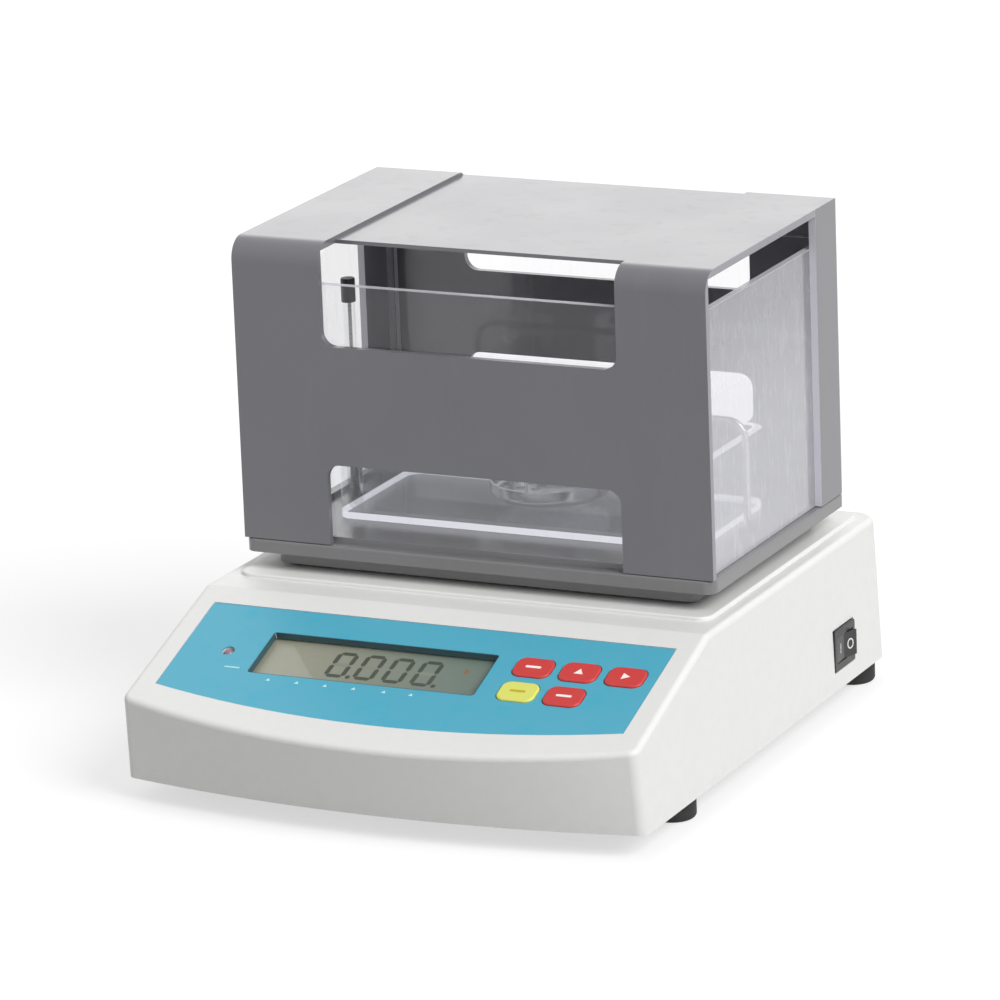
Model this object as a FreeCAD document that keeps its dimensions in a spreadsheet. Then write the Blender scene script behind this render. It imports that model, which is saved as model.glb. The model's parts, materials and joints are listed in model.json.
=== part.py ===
import FreeCAD, Part

import math
import os
from types import SimpleNamespace

import Sketcher

# Benchtop density meter: a moulded weighing base with a sloped keypad, a load cell inside,
# a bridge tray with a clear water tank over the deck, a hanging weighing frame and a
# lift-off windshield. Millimetres. +Z is up, the keypad faces -Y and +X is to the right.
# The origin is the middle of the bench footprint, on the bench.

DRIVING_SIZES = {
    # moulded base
    "base_width": 230.0,
    "side_lean": 2.3,
    "bench_gap": 10.0,
    "deck_height": 71.5,
    "plateau_rise": 1.5,
    "plateau_margin": 6.7,
    "plateau_front": 32.0,
    "plateau_rear_margin": 8.5,
    "plateau_corner": 6.0,
    "plateau_edge": 0.8,
    "rear_reach": 137.5,
    "rear_lean": 1.4,
    "front_corner_reach": 118.0,
    "front_bow": 12.2,
    "front_lean": 6.5,
    "front_bow_gain": 8.5,
    "lip_reach": 120.4,
    "lip_height": 45.9,
    "crease_reach": 47.4,
    "wall": 3.0,
    "rear_corner_radius": 10.0,
    "front_corner_radius": 5.0,
    "deck_edge_radius": 2.4,
    "seam_gap": 0.3,
    "floor_thickness": 3.0,
    # screw bosses and screws of the base
    "boss_radius": 4.0,
    "boss_inset": 8.5,
    "boss_front": 95.0,
    "boss_middle": 15.0,
    "boss_rear_inset": 25.5,
    "boss_rib": 1.6,
    "pilot_radius": 1.25,
    "pilot_depth": 14.0,
    "screw_radius": 1.2,
    "screw_head_radius": 3.0,
    "screw_head_height": 1.8,
    "screw_play": 0.4,
    # levelling feet
    "foot_radius": 9.5,
    "foot_inset": 12.0,
    "foot_front": 65.4,
    "foot_pad_height": 8.4,
    "foot_edge": 2.0,
    "stud_radius": 2.5,
    "stud_flange_radius": 5.0,
    "stud_flange_thickness": 3.0,
    "stud_top": 24.0,
    "thread_play": 0.05,
    "foot_boss_radius": 6.5,
    "foot_boss_height": 6.0,
    "nut_across": 8.0,
    "nut_height": 3.6,
    "vent_left": 40.0,
    "vent_pitch": 9.0,
    "vent_width": 3.0,
    "vent_flat": 0.2,
    "vent_reach": 15.0,
    # keypad on the slope, measured up the slope from its low edge
    "panel_margin": 9.2,
    "panel_low": 9.3,
    "panel_high": 66.3,
    "panel_bow": 12.0,
    "panel_recess": 0.8,
    "panel_thickness": 0.6,
    "panel_play": 0.25,
    "window_left": 68.4,
    "window_right": 32.7,
    "window_low": 23.0,
    "window_high": 50.8,
    "window_corner": 1.5,
    "key_width": 16.4,
    "key_height": 12.4,
    "key_corner": 4.0,
    "key_first": 50.0,
    "key_pitch": 20.1,
    "key_row_high": 44.6,
    "key_row_low": 28.3,
    "key_play": 0.35,
    "key_proud": 0.7,
    "key_travel": 0.5,
    "key_edge": 0.8,
    "key_lip": 1.0,
    "key_lip_thickness": 1.0,
    "plunger_radius": 2.0,
    "plunger_length": 1.8,
    "lamp_left": 82.6,
    "lamp_up": 35.6,
    "lamp_radius": 2.4,
    "lamp_flange": 0.6,
    "lamp_flange_height": 1.2,
    # display behind the slope
    "lens_margin": 2.0,
    "lens_thickness": 1.0,
    "glass_thickness": 2.6,
    "glass_margin": 0.8,
    "holder_margin": 5.0,
    "board_thickness": 1.6,
    "display_board_depth": 11.0,
    "display_board_margin": 8.0,
    "display_board_low": 14.0,
    "display_board_high": 62.0,
    "pillar_radius": 3.0,
    "pillar_inset": 4.0,
    "pillar_hole": 6.0,
    "board_screw_length": 6.0,
    "chip_size": 8.0,
    "chip_height": 1.6,
    "chip_gap": 4.0,
    "chip_inset": 16.0,
    "display_chip_gap": 8.0,
    "capacitor_radius": 4.0,
    "capacitor_height": 11.0,
    "tact_size": 6.0,
    "tact_height": 3.5,
    "board_screw_radius": 1.1,
    "board_screw_head": 2.2,
    "board_screw_head_height": 1.5,
    # load cell and weighing post
    "cell_width": 30.0,
    "cell_height": 22.0,
    "cell_front": 54.0,
    "cell_back": 70.0,
    "cell_bottom": 24.0,
    "cell_bore": 7.5,
    "cell_bore_spread": 13.0,
    "cell_slot": 4.0,
    "cell_play": 0.5,
    "pedestal_length": 28.0,
    "cell_screw_radius": 2.5,
    "cell_screw_spread": 8.0,
    "cell_screw_head": 4.5,
    "cell_screw_head_height": 3.6,
    "cell_screw_bite": 8.0,
    "stop_radius": 4.0,
    "stop_foot_radius": 6.0,
    "stop_inset": 8.0,
    "post_back": 50.0,
    "post_radius": 7.0,
    "post_flange_radius": 14.0,
    "post_flange_thickness": 3.0,
    "post_top": 76.6,
    "post_hole_radius": 12.0,
    "post_root": 1.4,
    "post_screw_radius": 1.5,
    "post_screw_bite": 6.0,
    "post_screw_head": 2.6,
    "post_screw_head_height": 2.6,
    "spider_screw_head_height": 1.8,
    # main circuit board
    "main_board_inset": 9.5,
    "main_board_right": 24.0,
    "main_board_front": 10.0,
    "main_board_back": 108.0,
    "standoff_height": 5.0,
    "standoff_radius": 3.0,
    # rocker switch on the right-hand wall
    "switch_back": 89.0,
    "switch_height": 27.0,
    "switch_flange": 1.6,
    "switch_length": 22.0,
    "switch_tall": 18.0,
    "switch_body_length": 19.4,
    "switch_body_tall": 13.4,
    "switch_body_depth": 17.0,
    "rocker_half": 8.0,
    "rocker_tall": 10.8,
    "rocker_play": 0.25,
    "rocker_swing_play": 0.5,
    "rocker_root": 4.5,
    "rocker_end": 1.0,
    "rocker_middle": -0.4,
    "rocker_well": 8.0,
    "pivot_length": 1.0,
    "rocker_pivot_depth": 2.5,
    "rocker_drop": 2.5,
    "rocker_tilt": 8.0,
    "pivot_radius": 1.0,
    "pivot_play": 0.06,
    # sockets in the rear wall
    "jack_left": 62.0,
    "jack_sink": 1.8,
    "jack_height": 27.0,
    "jack_radius": 5.5,
    "jack_bore": 3.2,
    "jack_flange_radius": 7.0,
    "jack_pin": 1.0,
    "jack_depth": 13.0,
    "port_left": 28.0,
    "port_height": 28.0,
    "port_half": 8.6,
    "port_half_tall": 4.8,
    "port_flange_half": 15.4,
    "port_flange_tall": 6.2,
    "port_flange": 1.0,
    "port_block": 9.0,
    "port_slant": 1.4,
    "port_pin": 0.6,
    "port_pin_row": 1.4,
    "port_pin_pitch": 2.8,
    "socket_play": 0.3,
    # bridge tray
    "tray_half": 105.5,
    "tray_front": 25.0,
    "tray_back": 116.0,
    "tray_top": 85.9,
    "tray_plate": 3.0,
    "tray_rim_drop": 5.5,
    "tray_rim_wall": 2.2,
    "tray_corner": 5.0,
    "tray_edge": 1.0,
    "skirt_half": 94.5,
    "skirt_front": 18.0,
    "skirt_back": 109.0,
    "skirt_wall": 2.0,
    "pad_height": 1.5,
    "pad_radius": 5.0,
    "pad_side": 86.5,
    "pad_front": 8.0,
    "pad_back": 99.0,
    "tray_screw_radius": 2.0,
    "tray_screw_head": 4.0,
    "ridge_height": 2.0,
    "ridge_wall": 1.5,
    "ridge_half": 98.8,
    "ridge_front": 18.0,
    "ridge_back": 109.0,
    "drain_radius": 2.2,
    "drain_pitch": 35.6,
    "drain_front": 12.0,
    "leg_hole_radius": 4.0,
    # water tank
    "tank_half": 82.0,
    "tank_front": 14.0,
    "tank_back": 86.0,
    "tank_height": 35.1,
    "tank_wall": 3.0,
    "tank_corner": 6.0,
    "bead_width": 1.2,
    "bead_height": 3.0,
    # weighing frame
    "leg_spread": 89.0,
    "rod_radius": 1.5,
    "rod_bend": 8.0,
    "beam_height": 132.0,
    "arm_root": 24.0,
    "arm_end": 3.2,
    "arm_play": 0.6,
    "arm_thickness": 2.4,
    "arm_hole": 5.5,
    "arm_hole_step": 0.9,
    "arm_hole_pitch": 15.0,
    "frame_nut_across": 5.5,
    "frame_nut_height": 2.2,
    "seat_radius": 14.0,
    "seat_height": 3.0,
    "saddle_near": 5.0,
    "saddle_far": 10.0,
    "saddle_half": 3.2,
    "saddle_wall": 1.4,
    "dish_radius": 23.0,
    "dish_floor": 18.5,
    "dish_depth": 2.7,
    "dish_sheet": 0.8,
    "dish_foot": 1.6,
    "dish_play": 0.2,
    "wire_radius": 0.6,
    "wire_play": 0.1,
    "groove_play": 0.3,
    "bail_bend": 8.0,
    "basket_radius": 25.4,
    "basket_bottom": 94.0,
    "basket_depth": 7.0,
    "basket_sheet": 1.0,
    "basket_hole": 2.0,
    "basket_edge": 3.0,
    "basket_ring": 7.0,
    # thermometer
    "glass_radius": 2.5,
    "glass_bottom": 90.5,
    "glass_top": 183.0,
    "glass_gap": 1.0,
    "cap_radius": 3.0,
    "cap_length": 10.0,
    "clip_play": 0.08,
    "clip_wall": 1.6,
    "clip_height": 6.0,
    "clip_drop": 9.0,
    # windshield
    "cover_half": 105.5,
    "cover_front": 24.5,
    "cover_back": 115.5,
    "cover_top": 213.0,
    "cover_sheet": 3.0,
    "cover_fold": 9.0,
    "cover_rear_fold": 4.0,
    "cover_rear_corner": 4.0,
    "cover_wrap": 25.5,
    "opening_half": 66.0,
    "roof_recess": 1.4,
    "roof_cut": 16.5,
    "upper_opening": 170.5,
    "back_low": 112.5,
    "front_notch": 120.5,
    "back_notch": 134.5,
    "opening_corner": 6.0,
    "clear_sheet": 3.0,
    "clear_top": 196.0,
    "clear_corner_gap": 0.2,
}

VENT_COUNT = 6
CHIP_COUNT = 3
DRAIN_COUNT = 5
ARM_HOLES = 4
BASKET_RINGS = 3
BASKET_HOLES = 6
PORT_PINS = (5, 4)
HEX_SIDES = 6
TOUCH = 0.01
LEAST_CUT = 1e-3

DOC = FreeCAD.newDocument("density_meter")
Vector = FreeCAD.Vector


class Size:
    """A length that knows both its value and the sheet expression that gives it."""

    def __init__(self, value, text):
        self.value = float(value)
        self.text = text

    @staticmethod
    def of(other):
        return other if isinstance(other, Size) else Size(other, repr(float(other)))

    def _join(self, other, value, sign):
        return Size(value, "(%s %s %s)" % (self.text, sign, other.text))

    def __add__(self, other):
        other = Size.of(other)
        return self._join(other, self.value + other.value, "+")

    def __sub__(self, other):
        other = Size.of(other)
        return self._join(other, self.value - other.value, "-")

    def __mul__(self, other):
        other = Size.of(other)
        return self._join(other, self.value * other.value, "*")

    def __truediv__(self, other):
        other = Size.of(other)
        return self._join(other, self.value / other.value, "/")

    def __radd__(self, other):
        return Size.of(other) + self

    def __rsub__(self, other):
        return Size.of(other) - self

    def __rmul__(self, other):
        return Size.of(other) * self

    def __neg__(self):
        return Size(-self.value, "(0 - %s)" % self.text)

    def __float__(self):
        return self.value

    def root(self):
        return Size(math.sqrt(self.value), "sqrt(%s)" % self.text)


def make_sheet(sizes):
    """Write the driving sizes into a spreadsheet and return them as bound sizes."""
    sheet = DOC.addObject("Spreadsheet::Sheet", "Sizes")
    for row, (name, value) in enumerate(sizes.items(), start=1):
        sheet.set("A%d" % row, name)
        sheet.set("B%d" % row, str(value))
        sheet.setAlias("B%d" % row, name)
    DOC.recompute()
    bound = {name: Size(float(sheet.get(name)), "Sizes.%s" % name) for name in sizes}
    return SimpleNamespace(**bound)


d = make_sheet(DRIVING_SIZES)
ZERO = Size.of(0)


class Outline:
    """A sketch on one of a body's origin planes, with every corner pinned by expressions."""

    def __init__(self, body, plane="XY_Plane", lift=None, tilt=None):
        self.sketch = body.newObject("Sketcher::SketchObject", body.Name + "_outline")
        support = [item for item in body.Origin.OriginFeatures if item.Role == plane][0]
        self.sketch.AttachmentSupport = [(support, "")]
        self.sketch.MapMode = "FlatFace"
        if tilt is not None:
            self.sketch.AttachmentOffset = tilt
        if lift is not None:
            self.sketch.setExpression("AttachmentOffset.Base.z", lift.text)

    def _bind(self, constraint, size):
        index = self.sketch.addConstraint(constraint)
        self.sketch.setExpression("Constraints[%d]" % index, size.text)

    def _pin(self, item, point, x, y):
        x, y = Size.of(x), Size.of(y)
        self._bind(Sketcher.Constraint("DistanceX", -1, 1, item, point, x.value), x)
        self._bind(Sketcher.Constraint("DistanceY", -1, 1, item, point, y.value), y)

    def loop(self, corners):
        """Closed loop of (x, y), or (x, y, radius, middle) where an arc leaves the corner."""
        ends = []
        for index, corner in enumerate(corners):
            after = corners[(index + 1) % len(corners)]
            start = Vector(float(corner[0]), float(corner[1]), 0)
            finish = Vector(float(after[0]), float(after[1]), 0)
            if len(corner) == 2:
                item = self.sketch.addGeometry(Part.LineSegment(start, finish), False)
                ends.append((item, 1, 2))
                continue
            radius, middle = Size.of(corner[2]), corner[3]
            item = self.sketch.addGeometry(Part.Arc(start, middle, finish), False)
            forward = self.sketch.getPoint(item, 1).distanceToPoint(start) < 1e-6
            ends.append((item, 1, 2) if forward else (item, 2, 1))
            self._bind(Sketcher.Constraint("Radius", item, radius.value), radius)
        for index, (item, first, last) in enumerate(ends):
            follower, follower_first, _ = ends[(index + 1) % len(ends)]
            self.sketch.addConstraint(
                Sketcher.Constraint("Coincident", item, last, follower, follower_first)
            )
            self._pin(item, first, corners[index][0], corners[index][1])
        return self

    def trail(self, corners):
        """Open chain through the corners, for a path; a corner may start an arc as in loop."""
        before = None
        for corner, after in zip(corners, corners[1:]):
            start = Vector(float(corner[0]), float(corner[1]), 0)
            finish = Vector(float(after[0]), float(after[1]), 0)
            if len(corner) == 2:
                item = self.sketch.addGeometry(Part.LineSegment(start, finish), False)
                first, last = 1, 2
            else:
                radius = Size.of(corner[2])
                item = self.sketch.addGeometry(Part.Arc(start, corner[3], finish), False)
                forward = self.sketch.getPoint(item, 1).distanceToPoint(start) < 1e-6
                first, last = (1, 2) if forward else (2, 1)
                self._bind(Sketcher.Constraint("Radius", item, radius.value), radius)
            if before:
                self.sketch.addConstraint(Sketcher.Constraint("Coincident", *before, item, first))
            self._pin(item, first, corner[0], corner[1])
            before = (item, last)
        self._pin(*before, corners[-1][0], corners[-1][1])
        return self.sketch

    def box(self, left, right, low, high):
        """Rectangle."""
        return self.loop([(left, low), (right, low), (right, high), (left, high)])

    def rounded(self, left, right, low, high, radius):
        """Rectangle with four equal round corners."""
        radius = Size.of(radius)
        reach = radius.value * (1 - math.sqrt(0.5))

        def middle(x, y, x_side, y_side):
            return Vector(float(x) - x_side * reach, float(y) - y_side * reach, 0)

        return self.loop([
            (left + radius, low),
            (right - radius, low, radius, middle(right, low, 1, -1)),
            (right, low + radius),
            (right, high - radius, radius, middle(right, high, 1, 1)),
            (right - radius, high),
            (left + radius, high, radius, middle(left, high, -1, 1)),
            (left, high - radius),
            (left, low + radius, radius, middle(left, low, -1, -1)),
        ])

    def circle(self, x, y, radius):
        """Full circle."""
        x, y, radius = Size.of(x), Size.of(y), Size.of(radius)
        centre = Vector(x.value, y.value, 0)
        ring = Part.Circle(centre, Vector(0, 0, 1), radius.value)
        item = self.sketch.addGeometry(ring, False)
        self._bind(Sketcher.Constraint("Radius", item, radius.value), radius)
        self._pin(item, 3, x, y)
        return self


def new_body(label):
    """An empty body whose label names its file."""
    body = DOC.addObject("PartDesign::Body", label)
    body.Label = label
    return body


def add_feature(body, kind, name):
    """A new feature at the end of the body, with the feature before it."""
    before = body.Tip
    feature = body.newObject("PartDesign::" + kind, "%s_%s" % (body.Name, name))
    return feature, before


def pad(body, outline, height, reverse=False, both=False):
    """Extrude the outline by height."""
    feature, _ = add_feature(body, "Pad", "pad")
    feature.Profile = outline.sketch
    feature.setExpression("Length", Size.of(height).text)
    feature.Reversed = reverse
    if both:
        feature.SideType = "Symmetric"
    DOC.recompute()
    return feature


def pocket(body, outline, depth, reverse=False, both=False):
    """Cut the outline by depth, and make sure that it removed something."""
    volume = body.Shape.Volume
    feature, _ = add_feature(body, "Pocket", "pocket")
    feature.Profile = outline.sketch
    feature.setExpression("Length", Size.of(depth).text)
    feature.Reversed = reverse
    if both:
        feature.SideType = "Symmetric"
    DOC.recompute()
    if body.Shape.Volume > volume - LEAST_CUT:
        raise ValueError("a pocket in %s cuts nothing" % body.Label)
    return feature


def loft(body, lower, upper):
    """Straight-sided loft from one outline to the next."""
    feature, _ = add_feature(body, "AdditiveLoft", "loft")
    feature.Profile = lower.sketch
    feature.Sections = [upper.sketch]
    feature.Ruled = True
    DOC.recompute()
    return feature


def blend_edges(body, radius, choose, kind="Fillet"):
    """Round (or chamfer) the edges of the body that the choose function accepts."""
    edges = body.Shape.Edges
    names = ["Edge%d" % (n + 1) for n, edge in enumerate(edges) if choose(edge)]
    if not names:
        raise ValueError("no edge of %s was chosen" % body.Label)
    feature, before = add_feature(body, kind, kind.lower())
    feature.Base = (before, names)
    key = "Radius" if kind == "Fillet" else "Size"
    feature.setExpression(key, Size.of(radius).text)
    DOC.recompute()
    return feature


def revolve(body, outline):
    """Turn the outline once round the sketch's upright axis."""
    feature, _ = add_feature(body, "Revolution", "turn")
    feature.Profile = outline.sketch
    feature.ReferenceAxis = (outline.sketch, ["V_Axis"])
    feature.Angle = 360
    DOC.recompute()
    return feature


def sweep(body, outline, path):
    """Carry the outline along the path sketch."""
    feature, _ = add_feature(body, "AdditivePipe", "sweep")
    feature.Profile = outline.sketch
    feature.Spine = path
    DOC.recompute()
    return feature


def repeat_round(body, source, count):
    """Repeat a feature round the body's upright axis."""
    feature, _ = add_feature(body, "PolarPattern", "ring")
    feature.Originals = [source]
    feature.Axis = ([item for item in body.Origin.OriginFeatures if item.Role == "Z_Axis"][0], [""])
    feature.Angle = 360
    feature.Occurrences = count
    body.Tip = feature
    DOC.recompute()
    return feature


def place(item, x=0, y=0, z=0):
    """Bind the placement of a piece to the sheet."""
    for axis, size in (("x", x), ("y", y), ("z", z)):
        item.setExpression("Placement.Base." + axis, Size.of(size).text)
    DOC.recompute()
    return item


def copies(label, master, places):
    """One piece made of links to the master's solid, one for each place."""
    links = []
    for index, spot in enumerate(places):
        link = DOC.addObject("App::Link", "%s_%d" % (label, index + 1))
        link.LinkedObject = master
        if isinstance(spot, FreeCAD.Placement):
            link.Placement = spot
        else:
            place(link, *spot)
        links.append(link)
    group = DOC.addObject("Part::Compound", label)
    group.Label = label
    group.Links = links
    DOC.recompute()
    return group


def combine(body, tools, kind):
    """Fuse or cut the body with other bodies."""
    feature, _ = add_feature(body, "Boolean", kind.lower())
    feature.Type = kind
    feature.setObjects(tools)
    DOC.recompute()
    return feature


# ---------------------------------------------------------------- base housing

half_base = d.base_width / 2
half_deck = half_base - d.side_lean
body_height = d.deck_height - d.bench_gap
slope_run = d.lip_reach - d.crease_reach
slope_rise = d.deck_height - d.lip_height
slope_length = (slope_run * slope_run + slope_rise * slope_rise).root()
plateau_top = d.deck_height + d.plateau_rise
floor_top = d.bench_gap + d.floor_thickness
boss_side = half_base - d.wall - d.boss_inset
boss_back = d.rear_reach - d.boss_rear_inset
foot_side = half_base - d.foot_inset
foot_back = d.rear_reach - d.foot_inset
plateau_back = d.rear_reach - d.plateau_rear_margin
panel_half = half_deck - d.panel_margin
display_board_half = panel_half - d.display_board_margin
main_board_left = boss_side - d.boss_radius - d.main_board_inset
switch_seat = half_base - d.switch_flange
rear_seat = d.rear_reach - d.jack_sink

SLOPE = FreeCAD.Placement(
    Vector(0, -float(d.lip_reach), float(d.lip_height)),
    FreeCAD.Rotation(Vector(1, 0, 0), math.degrees(math.atan2(float(slope_rise), float(slope_run)))),
)


def below_slope(depth):
    """The keypad slope's own frame, moved down into the base by depth."""
    return SLOPE.multiply(FreeCAD.Placement(Vector(0, 0, -float(depth)), FreeCAD.Rotation()))


def on_slope(body, x=0, up=0):
    """Move a body from its own frame onto the slope."""
    body.Placement = SLOPE.multiply(FreeCAD.Placement(Vector(float(x), float(up), 0), FreeCAD.Rotation()))
    DOC.recompute()
    return body


def up_the_wall(height, at_bottom, at_deck):
    """A size that changes evenly from the bottom edge of the base to its deck."""
    return at_bottom + (at_deck - at_bottom) * ((height - d.bench_gap) / body_height)


def plan(body, height, inset):
    """Plan of the base at a height: bowed front, straight sides and round rear corners."""
    half = up_the_wall(height, half_base, half_deck) - inset
    corner = d.front_corner_reach
    front = up_the_wall(height, corner, corner + d.front_lean) - inset
    bow = up_the_wall(height, d.front_bow, d.front_bow + d.front_bow_gain)
    rear = up_the_wall(height, d.rear_reach, d.rear_reach - d.rear_lean) - inset
    radius = d.rear_corner_radius - inset
    bow_radius = (half * half + bow * bow) / (bow * 2)
    reach = radius.value * (1 - math.sqrt(0.5))
    corner_x = half.value - reach
    corner_y = rear.value - reach
    outline = Outline(body, lift=height)
    return outline.loop([
        (-half, -front, bow_radius, Vector(0, -(front + bow).value, 0)),
        (half, -front),
        (half, rear - radius, radius, Vector(corner_x, corner_y, 0)),
        (half - radius, rear),
        (radius - half, rear, radius, Vector(-corner_x, corner_y, 0)),
        (-half, rear - radius),
    ])


def slope_cut(body, inset):
    """Cut the keypad slope, or the underside of its wall where inset is the wall."""
    rate = slope_rise / slope_run
    drop = Size.of(inset) * slope_length / slope_run
    top = d.deck_height - inset
    crease = d.crease_reach - (drop - inset) / rate
    beyond = d.base_width
    low = d.lip_height - drop - (beyond - d.lip_reach) * rate
    outline = Outline(body, "YZ_Plane").loop([
        (-beyond, low),
        (-crease, top),
        (-crease, d.deck_height * 2),
        (-beyond, d.deck_height * 2),
    ])
    pocket(body, outline, d.base_width * 2, both=True)


def base_block(label, inset):
    """The outer block of the base, or its hollow where inset is the wall."""
    body = new_body(label)
    low = d.bench_gap
    high = d.deck_height - inset
    loft(body, plan(body, low, inset), plan(body, high, inset))
    slope_cut(body, inset)
    return body


def boss_spots():
    """The six screw bosses of the base, as (x, y)."""
    rows = (-d.boss_front, d.boss_middle, boss_back)
    return [(side, row) for side in (-boss_side, boss_side) for row in rows]


def pillar_spots():
    """The four pillars of the display board, in the slope's frame."""
    side = display_board_half - d.pillar_inset
    rows = (d.display_board_low + d.pillar_inset, d.display_board_high - d.pillar_inset)
    return [(x, row) for x in (-side, side) for row in rows]


def key_spots():
    """Label and place of each key, in the slope's frame."""
    second = d.key_first + d.key_pitch
    third = second + d.key_pitch
    return [
        ("key_top_left", d.key_first, d.key_row_high),
        ("key_top_middle", second, d.key_row_high),
        ("key_top_right", third, d.key_row_high),
        ("key_bottom_left", d.key_first, d.key_row_low),
        ("key_bottom_right", second, d.key_row_low),
    ]


def key_outline(outline, x, up, margin):
    """Outline of a key, grown by a margin."""
    half_width = d.key_width / 2 + margin
    half_height = d.key_height / 2 + margin
    return outline.rounded(x - half_width, x + half_width, up - half_height, up + half_height,
                           d.key_corner + margin)


def window_outline(outline, margin, corner):
    """Outline of the display window, grown by a margin."""
    return outline.rounded(-d.window_left - margin, d.window_right + margin,
                           d.window_low - margin, d.window_high + margin, corner)


def panel_outline(outline, play):
    """Outline of the keypad overlay: straight top and sides and a bowed lower edge."""
    half = panel_half - play
    low = d.panel_low + play
    high = d.panel_high - play
    bow_radius = (half * half + d.panel_bow * d.panel_bow) / (d.panel_bow * 2)
    return outline.loop([
        (-half, low, bow_radius, Vector(0, (low - d.panel_bow).value, 0)),
        (half, low),
        (half, high),
        (-half, high),
    ])


def round_outer_edges(housing):
    """Round the upright front corners, then the rim of the deck and of the slope."""
    low, high = d.bench_gap.value, d.deck_height.value
    front = -d.front_corner_reach.value
    crease = -d.crease_reach.value
    wall_height = (d.lip_height - d.bench_gap).value

    def upright_front(edge):
        box = edge.BoundBox
        return box.ZLength > wall_height / 2 and box.YMax < front + TOUCH

    def deck_rim(edge):
        box = edge.BoundBox
        return box.ZMin > high - TOUCH and box.YMax > crease + TOUCH

    def slope_rim(edge):
        box = edge.BoundBox
        between = low + TOUCH < box.ZMin < high - TOUCH
        return between and box.ZLength < slope_rise.value + TOUCH

    blend_edges(housing, d.front_corner_radius, upright_front)
    blend_edges(housing, d.deck_edge_radius, lambda edge: deck_rim(edge) or slope_rim(edge))


def add_plateau(housing):
    """The low plateau that carries the tray, with a soft upper edge."""
    half = half_deck - d.plateau_margin
    outline = Outline(housing, lift=d.deck_height)
    outline.rounded(-half, half, -d.plateau_front, plateau_back, d.plateau_corner)
    pad(housing, outline, d.plateau_rise)
    top = plateau_top.value
    blend_edges(housing, d.plateau_edge, lambda edge: edge.BoundBox.ZMin > top - TOUCH)


def make_hollow():
    """The inside of the base, with the screw bosses and their ribs left standing."""
    hollow = base_block("base_hollow", d.wall)
    tall = d.deck_height
    rib = d.boss_rib / 2
    for x, y in boss_spots():
        pocket(hollow, Outline(hollow, lift=floor_top).circle(x, y, d.boss_radius), tall, reverse=True)
        wall_side = half_base if x.value > 0 else -half_base
        left, right = (x, wall_side) if x.value > 0 else (wall_side, x)
        pocket(hollow, Outline(hollow, lift=floor_top).box(left, right, y - rib, y + rib), tall,
               reverse=True)
    return hollow


def cut_slope_openings(housing):
    """Recess for the overlay, then the openings for the window, the keys and the lamp."""
    panel = Outline(housing, tilt=below_slope(0))
    pocket(housing, panel_outline(panel, ZERO), d.panel_recess)
    through = d.wall + d.seam_gap
    window = Outline(housing, tilt=below_slope(0))
    pocket(housing, window_outline(window, ZERO, d.window_corner), through)
    for _, x, up in key_spots():
        pocket(housing, key_outline(Outline(housing, tilt=below_slope(0)), x, up, d.key_play), through)
    lamp = Outline(housing, tilt=below_slope(0))
    pocket(housing, lamp.circle(-d.lamp_left, d.lamp_up, d.lamp_radius + d.key_play), through)


def add_display_pillars(housing):
    """Pillars that hold the display board under the slope."""
    bite = d.wall / 2
    for x, up in pillar_spots():
        foot = Outline(housing, tilt=below_slope(d.display_board_depth))
        pad(housing, foot.circle(x, up, d.pillar_radius), d.display_board_depth - bite)
        hole = Outline(housing, tilt=below_slope(d.display_board_depth))
        pocket(housing, hole.circle(x, up, d.board_screw_radius + d.thread_play), d.pillar_hole,
               reverse=True)


def cut_wall_openings(housing):
    """Seats and openings for the switch and the two sockets, and the hole for the weighing post."""
    seat = d.socket_play
    low, high = switch_rows(d.switch_tall / 2 + seat)
    near, far = switch_columns(d.switch_length / 2 + seat)
    outline = Outline(housing, "YZ_Plane", lift=switch_seat).box(near, far, low, high)
    pocket(housing, outline, d.wall, reverse=True)
    low, high = switch_rows(d.switch_body_tall / 2 + seat)
    near, far = switch_columns(d.switch_body_length / 2 + seat)
    outline = Outline(housing, "YZ_Plane", lift=switch_seat).box(near, far, low, high)
    pocket(housing, outline, d.wall)
    rear = Outline(housing, "XZ_Plane", lift=-rear_seat)
    pocket(housing, rear.circle(-d.jack_left, d.jack_height, d.jack_flange_radius + seat), d.wall)
    rear = Outline(housing, "XZ_Plane", lift=-rear_seat)
    pocket(housing, rear.circle(-d.jack_left, d.jack_height, d.jack_radius + seat), d.wall,
           reverse=True)
    rear = Outline(housing, "XZ_Plane", lift=-d.rear_reach)
    pocket(housing, port_shell(rear, seat), d.wall * 2, reverse=True)
    post = Outline(housing, lift=plateau_top)
    pocket(housing, post.circle(ZERO, d.post_back, d.post_hole_radius), d.wall * 2)


def make_housing():
    housing = base_block("upper_housing", ZERO)
    round_outer_edges(housing)
    add_plateau(housing)
    combine(housing, [make_hollow()], "Cut")
    for x, y in boss_spots():
        pilot = Outline(housing, lift=floor_top).circle(x, y, d.pilot_radius)
        pocket(housing, pilot, d.pilot_depth, reverse=True)
    add_display_pillars(housing)
    cut_slope_openings(housing)
    cut_wall_openings(housing)
    for x, y in tray_screw_spots():
        thread = Outline(housing, lift=plateau_top)
        pocket(housing, thread.circle(x, y, d.tray_screw_radius + d.thread_play), d.wall * 2)
    return housing


# ---------------------------------------------------------------- floor of the base

def foot_spots():
    """Name and place of each levelling foot."""
    return [
        ("front_left", -foot_side, -d.foot_front),
        ("front_right", foot_side, -d.foot_front),
        ("rear_left", -foot_side, foot_back),
        ("rear_right", foot_side, foot_back),
    ]


def cell_screw_spots():
    """The four screws of the fixed end of the load cell."""
    middle = d.pedestal_length / 2 - d.cell_front
    rows = (middle - d.cell_screw_spread, middle + d.cell_screw_spread)
    return [(side, row) for side in (-d.cell_screw_spread, d.cell_screw_spread) for row in rows]


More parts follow.
